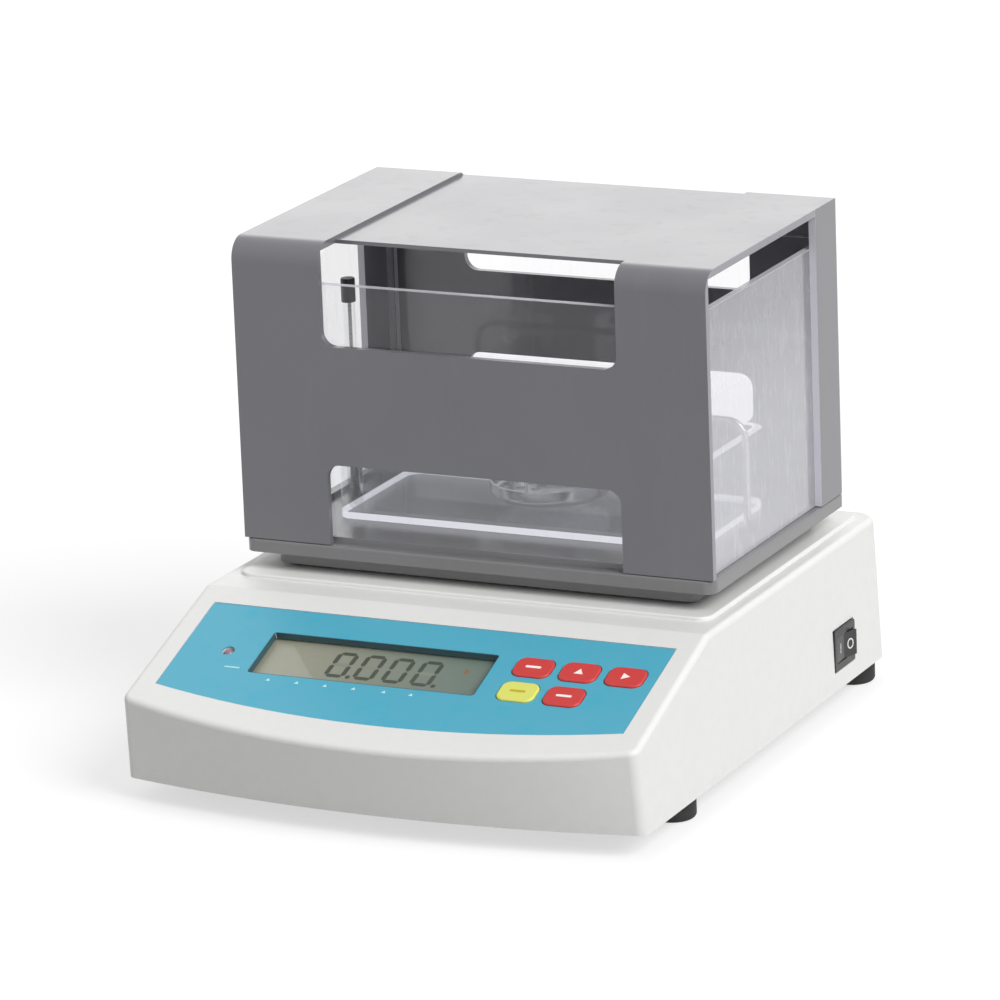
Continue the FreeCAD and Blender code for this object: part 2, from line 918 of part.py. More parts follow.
def standoff_spots():
    """The four standoffs of the main board."""
    sides = (-main_board_left + d.pillar_inset, -d.main_board_right - d.pillar_inset)
    rows = (d.main_board_front + d.pillar_inset, d.main_board_back - d.pillar_inset)
    return [(side, row) for side in sides for row in rows]


def make_bottom_plate():
    plate = new_body("bottom_plate")
    gap = d.wall + d.seam_gap
    loft(plate, plan(plate, d.bench_gap, gap), plan(plate, floor_top, gap))
    for _, x, y in foot_spots():
        pad(plate, Outline(plate, lift=floor_top).circle(x, y, d.foot_boss_radius), d.foot_boss_height)
        hole = Outline(plate, lift=d.deck_height).circle(x, y, d.stud_radius + d.thread_play)
        pocket(plate, hole, d.deck_height)
    for x, y in standoff_spots():
        pad(plate, Outline(plate, lift=floor_top).circle(x, y, d.standoff_radius), d.standoff_height)
        hole = Outline(plate, lift=floor_top + d.standoff_height)
        pocket(plate, hole.circle(x, y, d.board_screw_radius + d.thread_play), d.standoff_height)
    for x, y in boss_spots():
        hole = Outline(plate, lift=floor_top).circle(x, y, d.screw_radius + d.screw_play)
        pocket(plate, hole, d.floor_thickness)
    for x, y in cell_screw_spots():
        hole = Outline(plate, lift=floor_top).circle(x, y, d.cell_screw_radius + d.thread_play)
        pocket(plate, hole, d.floor_thickness)
    for index in range(VENT_COUNT):
        x = d.vent_left + d.vent_pitch * index
        slot = Outline(plate, lift=floor_top)
        slot.rounded(x, x + d.vent_width, -d.vent_reach, d.vent_reach, d.vent_width / 2 - d.vent_flat)
        pocket(plate, slot, d.floor_thickness)
    return plate


def turned(label, profile):
    """A body turned round the upright axis from a loop of (radius, height) corners."""
    body = new_body(label)
    revolve(body, Outline(body, "XZ_Plane").loop(profile))
    return body


def make_screw(label, radius, length, head_radius, head_height):
    """Cap screw with its head above z = 0, its shank below and a hexagon socket."""
    screw = turned(label, [
        (ZERO, -length),
        (radius, -length),
        (radius, ZERO),
        (head_radius, ZERO),
        (head_radius, head_height),
        (ZERO, head_height),
    ])
    socket = hexagon(Outline(screw, lift=head_height), radius * 2)
    pocket(screw, socket, head_height / 2)
    return screw


def hexagon(outline, across):
    """Regular hexagon of a given width across its flats."""
    corners = []
    for index in range(HEX_SIDES):
        angle = 2 * math.pi * index / HEX_SIDES
        reach = across / math.sqrt(3)
        corners.append((reach * math.cos(angle), reach * math.sin(angle)))
    return outline.loop(corners)


def make_nut(label, across, bore, height):
    nut = new_body(label)
    outline = hexagon(Outline(nut), across)
    pad(nut, outline.circle(0, 0, bore), height)
    return nut


def make_foot_pad(name, x, y):
    """Rubber foot: a domed cup that holds the flange of its stud."""
    socket = d.stud_flange_radius + d.thread_play
    depth = d.stud_flange_thickness
    soft = d.foot_edge
    body = turned("foot_pad_" + name, [
        (ZERO, ZERO),
        (d.foot_radius - soft, ZERO, soft, arc_middle(d.foot_radius - soft, soft, soft, 1, -1)),
        (d.foot_radius, soft),
        (d.foot_radius, d.foot_pad_height),
        (socket, d.foot_pad_height),
        (socket, d.foot_pad_height - depth),
        (ZERO, d.foot_pad_height - depth),
    ])
    return place(body, x, y)


def make_foot_stud(name, x, y):
    low = d.foot_pad_height - d.stud_flange_thickness
    body = turned("foot_stud_" + name, [
        (ZERO, low),
        (d.stud_flange_radius, low),
        (d.stud_flange_radius, d.foot_pad_height),
        (d.stud_radius, d.foot_pad_height),
        (d.stud_radius, d.stud_top - d.seam_gap),
        (d.stud_radius - d.seam_gap, d.stud_top),
        (ZERO, d.stud_top),
    ])
    return place(body, x, y)


def arc_middle(x, y, radius, x_side, y_side):
    """Middle of a quarter arc round (x, y)."""
    reach = float(radius) * math.sqrt(0.5)
    return Vector(float(x) + x_side * reach, float(y) + y_side * reach, 0)


def flipped(x, y, z):
    """Placement of a screw driven upward, with its head underneath."""
    return FreeCAD.Placement(Vector(float(x), float(y), float(z)), FreeCAD.Rotation(Vector(1, 0, 0), 180))


def make_floor_group():
    """Bottom plate, feet and the screws of the base."""
    pieces = [make_bottom_plate()]
    for name, x, y in foot_spots():
        pieces.append(make_foot_pad(name, x, y))
        pieces.append(make_foot_stud(name, x, y))
    nut = make_nut("foot_nut", d.nut_across, d.stud_radius + d.thread_play, d.nut_height)
    seats = [(x, y, floor_top + d.foot_boss_height) for _, x, y in foot_spots()]
    pieces.append(copies("foot_nuts", nut, seats))
    length = d.floor_thickness + d.pilot_depth - d.screw_play
    screw = make_screw("housing_screw", d.screw_radius, length, d.screw_head_radius, d.screw_head_height)
    seats = [flipped(x, y, d.bench_gap) for x, y in boss_spots()]
    pieces.append(copies("housing_screws", screw, seats))
    return pieces


# ---------------------------------------------------------------- keypad and display

def make_membrane():
    """Overlay let into the slope, with openings for the window, the keys and the lamp."""
    body = new_body("membrane_panel")
    outline = Outline(body)
    panel_outline(outline, d.panel_play)
    window_outline(outline, ZERO, d.window_corner)
    for _, x, up in key_spots():
        key_outline(outline, x, up, d.key_play)
    outline.circle(-d.lamp_left, d.lamp_up, d.lamp_radius + d.key_play)
    pad(body, outline, d.panel_thickness)
    half = panel_half.value - 1

    def panel_corner(edge):
        box = edge.BoundBox
        return box.XLength + box.YLength < TOUCH and abs(box.XMin) > half

    blend_edges(body, d.window_corner, panel_corner)
    body.Placement = below_slope(d.panel_recess)
    DOC.recompute()
    return body


def make_key(label, x, up):
    """Key cap with a soft upper edge, a lip under the wall and a plunger."""
    body = new_body(label)
    lip_low = -(d.wall + d.seam_gap + d.key_lip_thickness)
    key_top = d.panel_thickness - d.panel_recess + d.key_proud
    pad(body, key_outline(Outline(body, lift=lip_low), ZERO, ZERO, ZERO), key_top - lip_low)
    top = key_top.value
    blend_edges(body, d.key_edge, lambda edge: edge.BoundBox.ZMin > top - TOUCH)
    lip = key_outline(Outline(body, lift=lip_low), ZERO, ZERO, d.key_lip)
    pad(body, lip, d.key_lip_thickness)
    plunger = Outline(body, lift=lip_low).circle(ZERO, ZERO, d.plunger_radius)
    pad(body, plunger, d.plunger_length, reverse=True)
    return on_slope(body, x, up)


def make_lens():
    body = new_body("lcd_lens")
    outline = window_outline(Outline(body), d.lens_margin, d.window_corner)
    pad(body, outline, d.lens_thickness)
    body.Placement = below_slope(d.wall + d.lens_thickness)
    DOC.recompute()
    return body


def make_glass():
    """Display cell: two sheets of glass, the lower one wider for its contacts."""
    body = new_body("lcd_glass")
    half = d.glass_thickness / 2
    pad(body, window_outline(Outline(body), d.lens_margin, d.window_corner), half)
    pad(body, window_outline(Outline(body, lift=half), d.glass_margin, d.window_corner), half)
    body.Placement = below_slope(d.wall + d.lens_thickness + d.glass_thickness)
    DOC.recompute()
    return body


def make_holder():
    """Frame that holds the lens and the display between the wall and the board."""
    body = new_body("lcd_holder")
    height = d.display_board_depth - d.wall
    pad(body, window_outline(Outline(body), d.holder_margin, d.window_corner), height)
    inside = window_outline(Outline(body, lift=height), d.lens_margin + d.thread_play, d.window_corner)
    pocket(body, inside, d.lens_thickness + d.glass_thickness)
    through = window_outline(Outline(body, lift=height), -d.lens_margin, d.window_corner)
    pocket(body, through, height)
    body.Placement = below_slope(d.display_board_depth)
    DOC.recompute()
    return body


def make_display_board():
    """Circuit board under the slope, with its chips, connector and screw holes."""
    body = new_body("display_board")
    outline = Outline(body)
    half = display_board_half
    outline.box(-half, half, d.display_board_low, d.display_board_high)
    for x, up in pillar_spots():
        outline.circle(x, up, d.board_screw_radius + d.screw_play)
    pad(body, outline, d.board_thickness)
    for index in range(CHIP_COUNT):
        left = (d.chip_size + d.display_chip_gap) * index - d.window_left
        chip = Outline(body).box(left, left + d.chip_size, d.window_low, d.window_low + d.chip_size)
        pad(body, chip, d.chip_height, reverse=True)
    body.Placement = below_slope(d.display_board_depth + d.board_thickness)
    DOC.recompute()
    return body


def make_tact_switches():
    """One small push switch on the board under each key."""
    master = new_body("tact_switch")
    half = d.tact_size / 2
    rest = d.wall + d.seam_gap + d.key_lip_thickness + d.plunger_length
    top = d.display_board_depth - rest - d.key_travel - d.thread_play
    pad(master, Outline(master).box(-half, half, -half, half), d.tact_height)
    pad(master, Outline(master).circle(ZERO, ZERO, d.plunger_radius), top)
    low = below_slope(d.display_board_depth)
    spots = []
    for _, x, up in key_spots():
        spots.append(low.multiply(FreeCAD.Placement(Vector(x.value, up.value, 0), FreeCAD.Rotation())))
    return copies("tact_switches", master, spots)


def make_lamp():
    """Domed indicator lamp that stands on the display board."""
    dome = d.lamp_radius
    body = turned("indicator_lamp", [
        (ZERO, -d.display_board_depth),
        (d.lamp_radius + d.lamp_flange, -d.display_board_depth),
        (d.lamp_radius + d.lamp_flange, d.lamp_flange_height - d.display_board_depth),
        (d.lamp_radius, d.lamp_flange_height - d.display_board_depth),
        (dome, -dome, dome, arc_middle(ZERO, -dome, dome, 1, 1)),
        (ZERO, ZERO),
    ])
    return on_slope(body, -d.lamp_left, d.lamp_up)


def make_display_group():
    """Everything that is mounted on or under the keypad slope."""
    pieces = [make_membrane(), make_lens(), make_glass(), make_holder(), make_display_board()]
    pieces += [make_key(label, x, up) for label, x, up in key_spots()]
    pieces += [make_tact_switches(), make_lamp()]
    screw = make_board_screw()
    turn = FreeCAD.Rotation(Vector(1, 0, 0), 180)
    under = below_slope(d.display_board_depth + d.board_thickness)
    spots = [under.multiply(FreeCAD.Placement(Vector(float(x), float(up), 0), turn))
             for x, up in pillar_spots()]
    pieces.append(copies("display_screws", screw, spots))
    return pieces


def make_board_screw():
    """Small cap screw for the circuit boards."""
    return make_screw("board_screw", d.board_screw_radius, d.board_screw_length, d.board_screw_head,
                      d.board_screw_head_height)


# ---------------------------------------------------------------- electronics in the base

def make_main_board():
    """Main circuit board with its chips, capacitors and connector row."""
    body = new_body("main_board")
    low = floor_top + d.standoff_height
    outline = Outline(body, lift=low)
    outline.box(-main_board_left, -d.main_board_right, d.main_board_front, d.main_board_back)
    for x, y in standoff_spots():
        outline.circle(x, y, d.board_screw_radius + d.screw_play)
    pad(body, outline, d.board_thickness)
    top = low + d.board_thickness
    for index in range(CHIP_COUNT):
        left = (d.chip_size + d.chip_gap) * index - main_board_left + d.chip_size
        chip = Outline(body, lift=top)
        low_row = d.main_board_front + d.chip_inset
        chip.box(left, left + d.chip_size, low_row, low_row + d.chip_size)
        pad(body, chip, d.chip_height)
        can = Outline(body, lift=top)
        can.circle(left, d.main_board_back - d.chip_inset, d.capacitor_radius)
        pad(body, can, d.capacitor_height)
    return body


def make_dc_inlet():
    """Barrel power socket: flange outside the rear wall, barrel inside, with its centre pin."""
    flange = d.rear_reach - rear_seat - d.rear_lean / 2
    body = turned("dc_inlet", [
        (ZERO, -d.jack_depth),
        (d.jack_radius, -d.jack_depth),
        (d.jack_radius, ZERO),
        (d.jack_flange_radius, ZERO),
        (d.jack_flange_radius, flange),
        (d.jack_bore, flange),
        (d.jack_bore, d.wall - d.jack_depth),
        (d.jack_pin, d.wall - d.jack_depth),
        (d.jack_pin, -d.seam_gap),
        (ZERO, -d.seam_gap),
    ])
    turn = FreeCAD.Rotation(Vector(1, 0, 0), -90)
    spot = Vector(-d.jack_left.value, rear_seat.value, d.jack_height.value)
    body.Placement = FreeCAD.Placement(spot, turn)
    DOC.recompute()
    return body


def port_shell(outline, play):
    """D-shaped outline of the serial port, seen from the rear wall's plane."""
    x, z = -d.port_left, d.port_height
    top = d.port_half + play
    low = d.port_half - d.port_slant + play
    tall = d.port_half_tall + play
    return outline.loop([(x - low, z - tall), (x + low, z - tall), (x + top, z + tall), (x - top, z + tall)])


def make_serial_port():
    """Nine-way port: shell in the wall, flange against its inner face and block behind."""
    body = new_body("serial_port")
    inner = d.rear_reach - d.rear_lean - d.wall - d.seam_gap
    flange = Outline(body, "XZ_Plane", lift=-inner)
    x, z = -d.port_left, d.port_height
    flange.rounded(x - d.port_flange_half, x + d.port_flange_half, z - d.port_flange_tall,
                   z + d.port_flange_tall, d.window_corner)
    pad(body, flange, d.port_flange)
    block = Outline(body, "XZ_Plane", lift=d.port_flange - inner)
    pad(body, port_shell(block, ZERO), d.port_block)
    shell = Outline(body, "XZ_Plane", lift=-inner)
    pad(body, port_shell(shell, ZERO), d.wall, reverse=True)
    for row, count in zip((d.port_pin_row, -d.port_pin_row), PORT_PINS):
        for index in range(count):
            across = x + d.port_pin_pitch * (index - (count - 1) / 2)
            hole = Outline(body, "XZ_Plane", lift=-inner - d.wall)
            pocket(body, hole.circle(across, z + row, d.port_pin), d.wall, reverse=True)
    return body


def make_load_cell():
    """Bored bending beam: two bores joined by a slot, clamped in front and loaded behind."""
    body = new_body("load_cell")
    half = d.cell_width / 2
    outline = Outline(body, lift=d.cell_bottom).box(-half, half, -d.cell_front, d.cell_back)
    pad(body, outline, d.cell_height)
    middle = (d.cell_back - d.cell_front) / 2
    height = d.cell_bottom + d.cell_height / 2
    for side in (-1, 1):
        bore = Outline(body, "YZ_Plane")
        pocket(body, bore.circle(middle + d.cell_bore_spread * side, height, d.cell_bore), d.cell_width,
               both=True)
    slot = Outline(body, "YZ_Plane")
    slot.box(middle - d.cell_bore_spread, middle + d.cell_bore_spread,
             height - d.cell_slot / 2, height + d.cell_slot / 2)
    pocket(body, slot, d.cell_width, both=True)
    for x, y in cell_screw_spots():
        hole = Outline(body, lift=d.cell_bottom).circle(x, y, d.cell_screw_radius + d.thread_play)
        pocket(body, hole, d.cell_screw_bite + d.screw_play, reverse=True)
    for x, y in post_screw_spots():
        hole = Outline(body, lift=d.cell_bottom + d.cell_height)
        pocket(body, hole.circle(x, y, d.post_screw_radius + d.thread_play), d.post_screw_bite)
    return body


def make_cell_spacer():
    """Block that lifts the fixed end of the load cell off the floor."""
    body = new_body("cell_spacer")
    half = d.cell_width / 2
    outline = Outline(body, lift=floor_top)
    outline.box(-half, half, -d.cell_front, d.pedestal_length - d.cell_front)
    for x, y in cell_screw_spots():
        outline.circle(x, y, d.cell_screw_radius + d.thread_play)
    pad(body, outline, d.cell_bottom - floor_top)
    return body


def make_overload_stop():
    """Stop that catches the free end of the load cell before it bends too far."""
    top = d.cell_bottom - d.cell_play
    body = turned("overload_stop", [
        (ZERO, floor_top),
        (d.stop_foot_radius, floor_top),
        (d.stop_foot_radius, floor_top + d.floor_thickness),
        (d.stop_radius, floor_top + d.floor_thickness),
        (d.stop_radius, top),
        (ZERO, top),
    ])
    return place(body, 0, d.cell_back - d.stop_inset)


post_screw_ring = (d.post_flange_radius + d.post_radius + d.post_root) / 2


def post_screw_spots():
    """Four screws round the flange of the weighing post."""
    reach = post_screw_ring * math.sqrt(0.5)
    return [(reach * x, d.post_back + reach * y) for x in (-1, 1) for y in (-1, 1)]


def make_weigh_post():
    """Post that carries the load through the deck, with a flange on the load cell."""
    low = d.cell_bottom + d.cell_height
    top_flange = low + d.post_flange_thickness
    body = turned("weigh_post", [
        (ZERO, low),
        (d.post_flange_radius, low),
        (d.post_flange_radius, top_flange),
        (d.post_radius + d.post_root, top_flange, d.post_root,
         arc_middle(d.post_radius + d.post_root, top_flange + d.post_root, d.post_root, -1, -1)),
        (d.post_radius, top_flange + d.post_root),
        (d.post_radius, d.post_top),
        (d.post_screw_radius + d.thread_play, d.post_top),
        (d.post_screw_radius + d.thread_play, d.post_top - d.post_screw_bite),
        (ZERO, d.post_top - d.post_screw_bite),
    ])
    place(body, 0, d.post_back)
    for x, y in post_screw_spots():
        hole = Outline(body, lift=top_flange)
        pocket(body, hole.circle(x, y - d.post_back, d.post_screw_radius + d.thread_play),
               d.post_flange_thickness)
    return body


def make_base_inside_group():
    """Boards, sockets, load cell and post."""
    pieces = [make_main_board(), make_dc_inlet(), make_serial_port()]
    pieces += [make_load_cell(), make_cell_spacer(), make_overload_stop(), make_weigh_post()]
    screw = make_board_screw()
    top = floor_top + d.standoff_height + d.board_thickness
    pieces.append(copies("board_screws", screw, [(x, y, top) for x, y in standoff_spots()]))
    length = d.cell_bottom - d.bench_gap + d.cell_screw_bite
    screw = make_screw("cell_screw", d.cell_screw_radius, length, d.cell_screw_head,
                       d.cell_screw_head_height)
    seats = [flipped(x, y, d.bench_gap) for x, y in cell_screw_spots()]
    pieces.append(copies("cell_screws", screw, seats))
    screw = make_screw("post_screw", d.post_screw_radius,
                       d.post_flange_thickness + d.post_screw_bite - d.screw_play,
                       d.post_screw_head, d.post_screw_head_height)
    top = d.cell_bottom + d.cell_height + d.post_flange_thickness
    pieces.append(copies("post_screws", screw, [(x, y, top) for x, y in post_screw_spots()]))
    return pieces


# ---------------------------------------------------------------- rocker switch

def switch_rows(half):
    """Lower and upper edge of something centred on the switch."""
    return d.switch_height - half, d.switch_height + half


def switch_columns(half):
    """Front and rear edge of something centred on the switch."""
    return d.switch_back - half, d.switch_back + half


def make_switch_body():
    """Snap-in switch body: flange in its seat, block inside the wall, a well and pivot holes."""
    body = new_body("power_switch_body")
    near, far = switch_columns(d.switch_length / 2)
    low, high = switch_rows(d.switch_tall / 2)
    flange = Outline(body, "YZ_Plane", lift=switch_seat)
    pad(body, flange.rounded(near, far, low, high, d.window_corner), d.switch_flange)
    face = (switch_seat + d.switch_flange).value
    blend_edges(body, d.key_edge / 2, lambda edge: edge.BoundBox.XMin > face - TOUCH)
    near, far = switch_columns(d.switch_body_length / 2)
    low, high = switch_rows(d.switch_body_tall / 2)
    block = Outline(body, "YZ_Plane", lift=switch_seat).box(near, far, low, high)
    pad(body, block, d.switch_body_depth, reverse=True)
    near, far = switch_columns(d.rocker_half + d.rocker_swing_play)
    low, high = switch_rows(d.rocker_tall / 2 + d.rocker_play)
    well = Outline(body, "YZ_Plane", lift=switch_seat + d.switch_flange).box(near, far, low, high)
    pocket(body, well, d.rocker_well)
    low, high = switch_rows(d.rocker_tall / 2 + d.rocker_play + d.pivot_length)
    pivot_x = switch_seat + d.switch_flange - d.rocker_pivot_depth
    hole = Outline(body, lift=high).circle(pivot_x, d.switch_back, d.pivot_radius + d.pivot_play)
    pocket(body, hole, high - low)
    return body


def make_rocker():
    """Rocker with two flat faces and a pivot pin, at rest with its rear end raised."""
    body = new_body("power_rocker")
    half = d.rocker_tall / 2
    depth = d.rocker_pivot_depth
    outline = Outline(body, lift=-half)
    outline.loop([
        (-d.rocker_drop, -d.rocker_root),
        (depth + d.rocker_end, -d.rocker_half),
        (depth + d.rocker_middle, ZERO),
        (depth + d.rocker_end, d.rocker_half),
        (-d.rocker_drop, d.rocker_root),
    ])
    pad(body, outline, d.rocker_tall)
    pin = Outline(body, lift=-(half + d.pivot_length)).circle(ZERO, ZERO, d.pivot_radius)
    pad(body, pin, d.rocker_tall + d.pivot_length * 2)
    spot = Vector(float(switch_seat + d.switch_flange - depth), d.switch_back.value,
                  d.switch_height.value)
    turn = FreeCAD.Rotation(Vector(0, 0, 1), -d.rocker_tilt.value)
    body.Placement = FreeCAD.Placement(spot, turn)
    DOC.recompute()
    return body


# ---------------------------------------------------------------- bridge tray

def tray_screw_spots():
    """The four screws that hold the tray to the deck."""
    return [(side, row) for side in (-d.pad_side, d.pad_side) for row in (-d.pad_front, d.pad_back)]


def make_tray():
    """Tray with a hanging rim, a skirt, screw bosses, drain holes and a ridge for the windshield."""
    body = new_body("tray")
    plate_low = d.tray_top - d.tray_plate
    rim_low = d.tray_top - d.tray_rim_drop
    half = d.tray_half
    front, back = -d.tray_front, d.tray_back
    outline = Outline(body, lift=rim_low).rounded(-half, half, front, back, d.tray_corner)
    pad(body, outline, d.tray_rim_drop)
    top = d.tray_top.value
    blend_edges(body, d.tray_edge, lambda edge: edge.BoundBox.ZMin > top - TOUCH)
    wall = d.tray_rim_wall
    under = Outline(body, lift=rim_low)
    under.rounded(wall - half, half - wall, front + wall, back - wall, d.tray_corner - wall)
    pocket(body, under, d.tray_rim_drop - d.tray_plate, reverse=True)
    skirt_low = plateau_top + d.pad_height
    side, wall = d.skirt_half, d.skirt_wall
    skirt = Outline(body, lift=skirt_low)
    skirt.rounded(-side, side, -d.skirt_front, d.skirt_back, d.tray_corner)
    skirt.rounded(wall - side, side - wall, wall - d.skirt_front, d.skirt_back - wall,
                  d.tray_corner - wall)
    pad(body, skirt, plate_low - skirt_low)
    for x, y in tray_screw_spots():
        pad(body, Outline(body, lift=skirt_low).circle(x, y, d.pad_radius), plate_low - skirt_low)
        hole = Outline(body, lift=d.tray_top).circle(x, y, d.tray_screw_radius + d.screw_play / 2)
        pocket(body, hole, d.tray_top)
    side, wall = d.ridge_half, d.ridge_wall
    ridge = Outline(body, lift=d.tray_top)
    ridge.rounded(-side, side, -d.ridge_front, d.ridge_back, d.tray_corner)
    ridge.rounded(wall - side, side - wall, wall - d.ridge_front, d.ridge_back - wall,
                  d.tray_corner - wall)
    pad(body, ridge, d.ridge_height)
    for side in (-d.leg_spread, d.leg_spread):
        hole = Outline(body, lift=d.tray_top).circle(side, d.post_back, d.leg_hole_radius)
        pocket(body, hole, d.tray_plate)
    for index in range(DRAIN_COUNT):
        x = d.drain_pitch * (index - (DRAIN_COUNT - 1) / 2)
        hole = Outline(body, lift=d.tray_top).circle(x, -d.drain_front, d.drain_radius)
        pocket(body, hole, d.tray_plate)
    return body


def make_tray_group():
    """Tray, the pads under its bosses and its screws."""
    pad_ring = new_body("tray_pad")
    outline = Outline(pad_ring).circle(0, 0, d.pad_radius)
    pad(pad_ring, outline.circle(0, 0, d.tray_screw_radius + d.screw_play / 2), d.pad_height)
    pads = copies("tray_pads", pad_ring, [(x, y, plateau_top) for x, y in tray_screw_spots()])
    length = d.tray_top - d.deck_height + d.wall - d.screw_play
    screw = make_screw("tray_screw", d.tray_screw_radius, length, d.tray_screw_head,
                       d.tray_screw_head / 2)
    screws = copies("tray_screws", screw, [(x, y, d.tray_top) for x, y in tray_screw_spots()])
    return [make_tray(), pads, screws]


# ---------------------------------------------------------------- water tank and thermometer

def make_tank():
    """Clear open tank with round corners and a bead round its rim."""
    body = new_body("water_tank")
    half, front, back = d.tank_half, d.tank_front, d.tank_back
    base = Outline(body, lift=d.tray_top).rounded(-half, half, front, back, d.tank_corner)
    pad(body, base, d.tank_height)
    rim = d.tray_top + d.tank_height
    bead = d.bead_width
    outline = Outline(body, lift=rim - d.bead_height)
    outline.rounded(-half - bead, half + bead, front - bead, back + bead, d.tank_corner + bead)
    pad(body, outline, d.bead_height)
    wall = d.tank_wall
    inside = Outline(body, lift=rim)
    inside.rounded(wall - half, half - wall, front + wall, back - wall, d.tank_corner - wall)
    pocket(body, inside, d.tank_height - wall)
    floor = (d.tray_top + wall).value

    def inner_floor(edge):
        return abs(edge.BoundBox.ZMin - floor) < TOUCH and edge.BoundBox.ZLength < TOUCH

    blend_edges(body, d.tank_corner - wall - d.seam_gap, inner_floor)
    soft = rim.value
    blend_edges(body, d.bead_width / 2, lambda edge: edge.BoundBox.ZMin > soft - TOUCH)
    return body


thermometer_x = -(d.tank_half - d.tank_wall - d.glass_radius - d.glass_gap)
thermometer_y = d.tank_front + d.tank_wall + d.glass_radius + d.glass_gap


def make_thermometer_glass():
    """Glass rod with a round bulb end."""
    radius = d.glass_radius
    body = turned("thermometer_glass", [
        (ZERO, d.glass_bottom, radius,
         arc_middle(ZERO, d.glass_bottom + radius, radius, 1, -1)),
        (radius, d.glass_bottom + radius),
        (radius, d.glass_top),
        (ZERO, d.glass_top),
    ])
    return place(body, thermometer_x, thermometer_y)


def make_thermometer_cap():
    """Cap that closes over the top of the glass rod."""
    low = d.glass_top - d.cap_length / 2
    top = d.glass_top + d.cap_length / 2
    body = turned("thermometer_cap", [
        (d.glass_radius + d.thread_play, low),
        (d.cap_radius, low),
        (d.cap_radius, top - d.seam_gap),
        (d.cap_radius - d.seam_gap, top),
        (ZERO, top),
        (ZERO, d.glass_top),
        (d.glass_radius + d.thread_play, d.glass_top),
    ])
    return place(body, thermometer_x, thermometer_y)


def make_thermometer_clip():
    """Corner plate on the tank's rim, with lips outside its walls and a hole for the rod."""
    body = new_body("thermometer_clip")
    rim = d.tray_top + d.tank_height
    edge = d.bead_width + d.clip_play + d.clip_wall
    left = -d.tank_half - edge
    front = d.tank_front - edge
    right = thermometer_x + d.glass_radius + d.clip_wall * 2
    back = thermometer_y + d.glass_radius + d.clip_wall * 2
    outline = Outline(body, lift=rim).rounded(left, right, front, back, d.clip_wall)
    pad(body, outline, d.clip_height)
    hole = Outline(body, lift=rim + d.clip_height)
    hole.circle(thermometer_x, thermometer_y, d.glass_radius + d.clip_play)
    pocket(body, hole, d.clip_height)
    inner = d.tank_corner + d.bead_width + d.clip_play
    lip = Outline(body, lift=rim)
    lip.box(left, left + d.clip_wall, front + inner + d.clip_wall, back - d.clip_wall)
    pad(body, lip, d.clip_drop, reverse=True)
    lip = Outline(body, lift=rim)
    lip.box(left + inner + d.clip_wall, right - d.clip_wall, front, front + d.clip_wall)
    pad(body, lip, d.clip_drop, reverse=True)
    return body


# ---------------------------------------------------------------- weighing frame

def make_spider():
    """Plate on top of the post, with a tapered arm out to each rod."""
    body = new_body("weigh_spider")
    reach = d.skirt_half - d.skirt_wall - d.arm_play
    wide, narrow = d.arm_root / 2, d.arm_end
    y = d.post_back
    root = d.post_flange_radius
    outline = Outline(body, lift=d.post_top).loop([
        (-reach, y - narrow),
        (-root, y - wide),
        (root, y - wide),
        (reach, y - narrow),
        (reach, y + narrow),
        (root, y + wide),
        (-root, y + wide),
        (-reach, y + narrow),
    ])
    outline.circle(ZERO, y, d.post_screw_radius + d.thread_play)
    for side in (-d.leg_spread, d.leg_spread):
        outline.circle(side, y, d.rod_radius + d.thread_play)
    pad(body, outline, d.arm_thickness)
    for index in range(ARM_HOLES):
        for side in (-1, 1):
            x = (root + d.arm_hole_pitch * (index + 1)) * side
            hole = Outline(body, lift=d.post_top + d.arm_thickness)
            pocket(body, hole.circle(x, y, d.arm_hole - d.arm_hole_step * index), d.arm_thickness)
    upright = d.arm_thickness.value - TOUCH
    blend_edges(body, d.window_corner, lambda edge: edge.BoundBox.ZLength > upright
                and edge.BoundBox.XLength < TOUCH)
    return body


def make_rod_frame():
    """Round rod bent into a portal over the tank."""
    body = new_body("weigh_frame")
    side, bend, top = d.leg_spread, d.rod_bend, d.beam_height
    low = d.post_top - d.frame_nut_height
    path = Outline(body, "XZ_Plane", lift=-d.post_back).trail([
        (-side, low),
        (-side, top - bend, bend, arc_middle(bend - side, top - bend, bend, -1, 1)),
        (bend - side, top),
        (side - bend, top, bend, arc_middle(side - bend, top - bend, bend, 1, 1)),
        (side, top - bend),
        (side, low),
    ])
    profile = Outline(body, lift=low).circle(-side, d.post_back, d.rod_radius)
    sweep(body, profile, path)
    return body


def make_carrier():
    """Round seat for the dish, on two saddles bored for the rod and with a groove for the bail."""
    body = new_body("dish_carrier")
    low = d.beam_height + d.rod_radius
    groove = d.wire_radius * 2 + d.groove_play
    pad(body, Outline(body, lift=low).circle(ZERO, d.post_back, d.seat_radius), d.seat_height)
    slot = Outline(body, lift=low)
    half = d.wire_radius + d.groove_play
    slot.box(-half, half, d.post_back - d.seat_radius * 2, d.post_back + d.seat_radius * 2)
    pocket(body, slot, groove, reverse=True)
    for side in (-1, 1):
        near, far = d.saddle_near * side, d.saddle_far * side
        left, right = (near, far) if side > 0 else (far, near)
        saddle = Outline(body, lift=low)
        saddle.box(left, right, d.post_back - d.saddle_half, d.post_back + d.saddle_half)
        pad(body, saddle, d.rod_radius * 2 + d.saddle_wall, reverse=True)
    bore = Outline(body, "YZ_Plane")
    bore.circle(d.post_back, d.beam_height, d.rod_radius + d.thread_play)
    pocket(body, bore, d.seat_radius * 2, both=True)
    return body


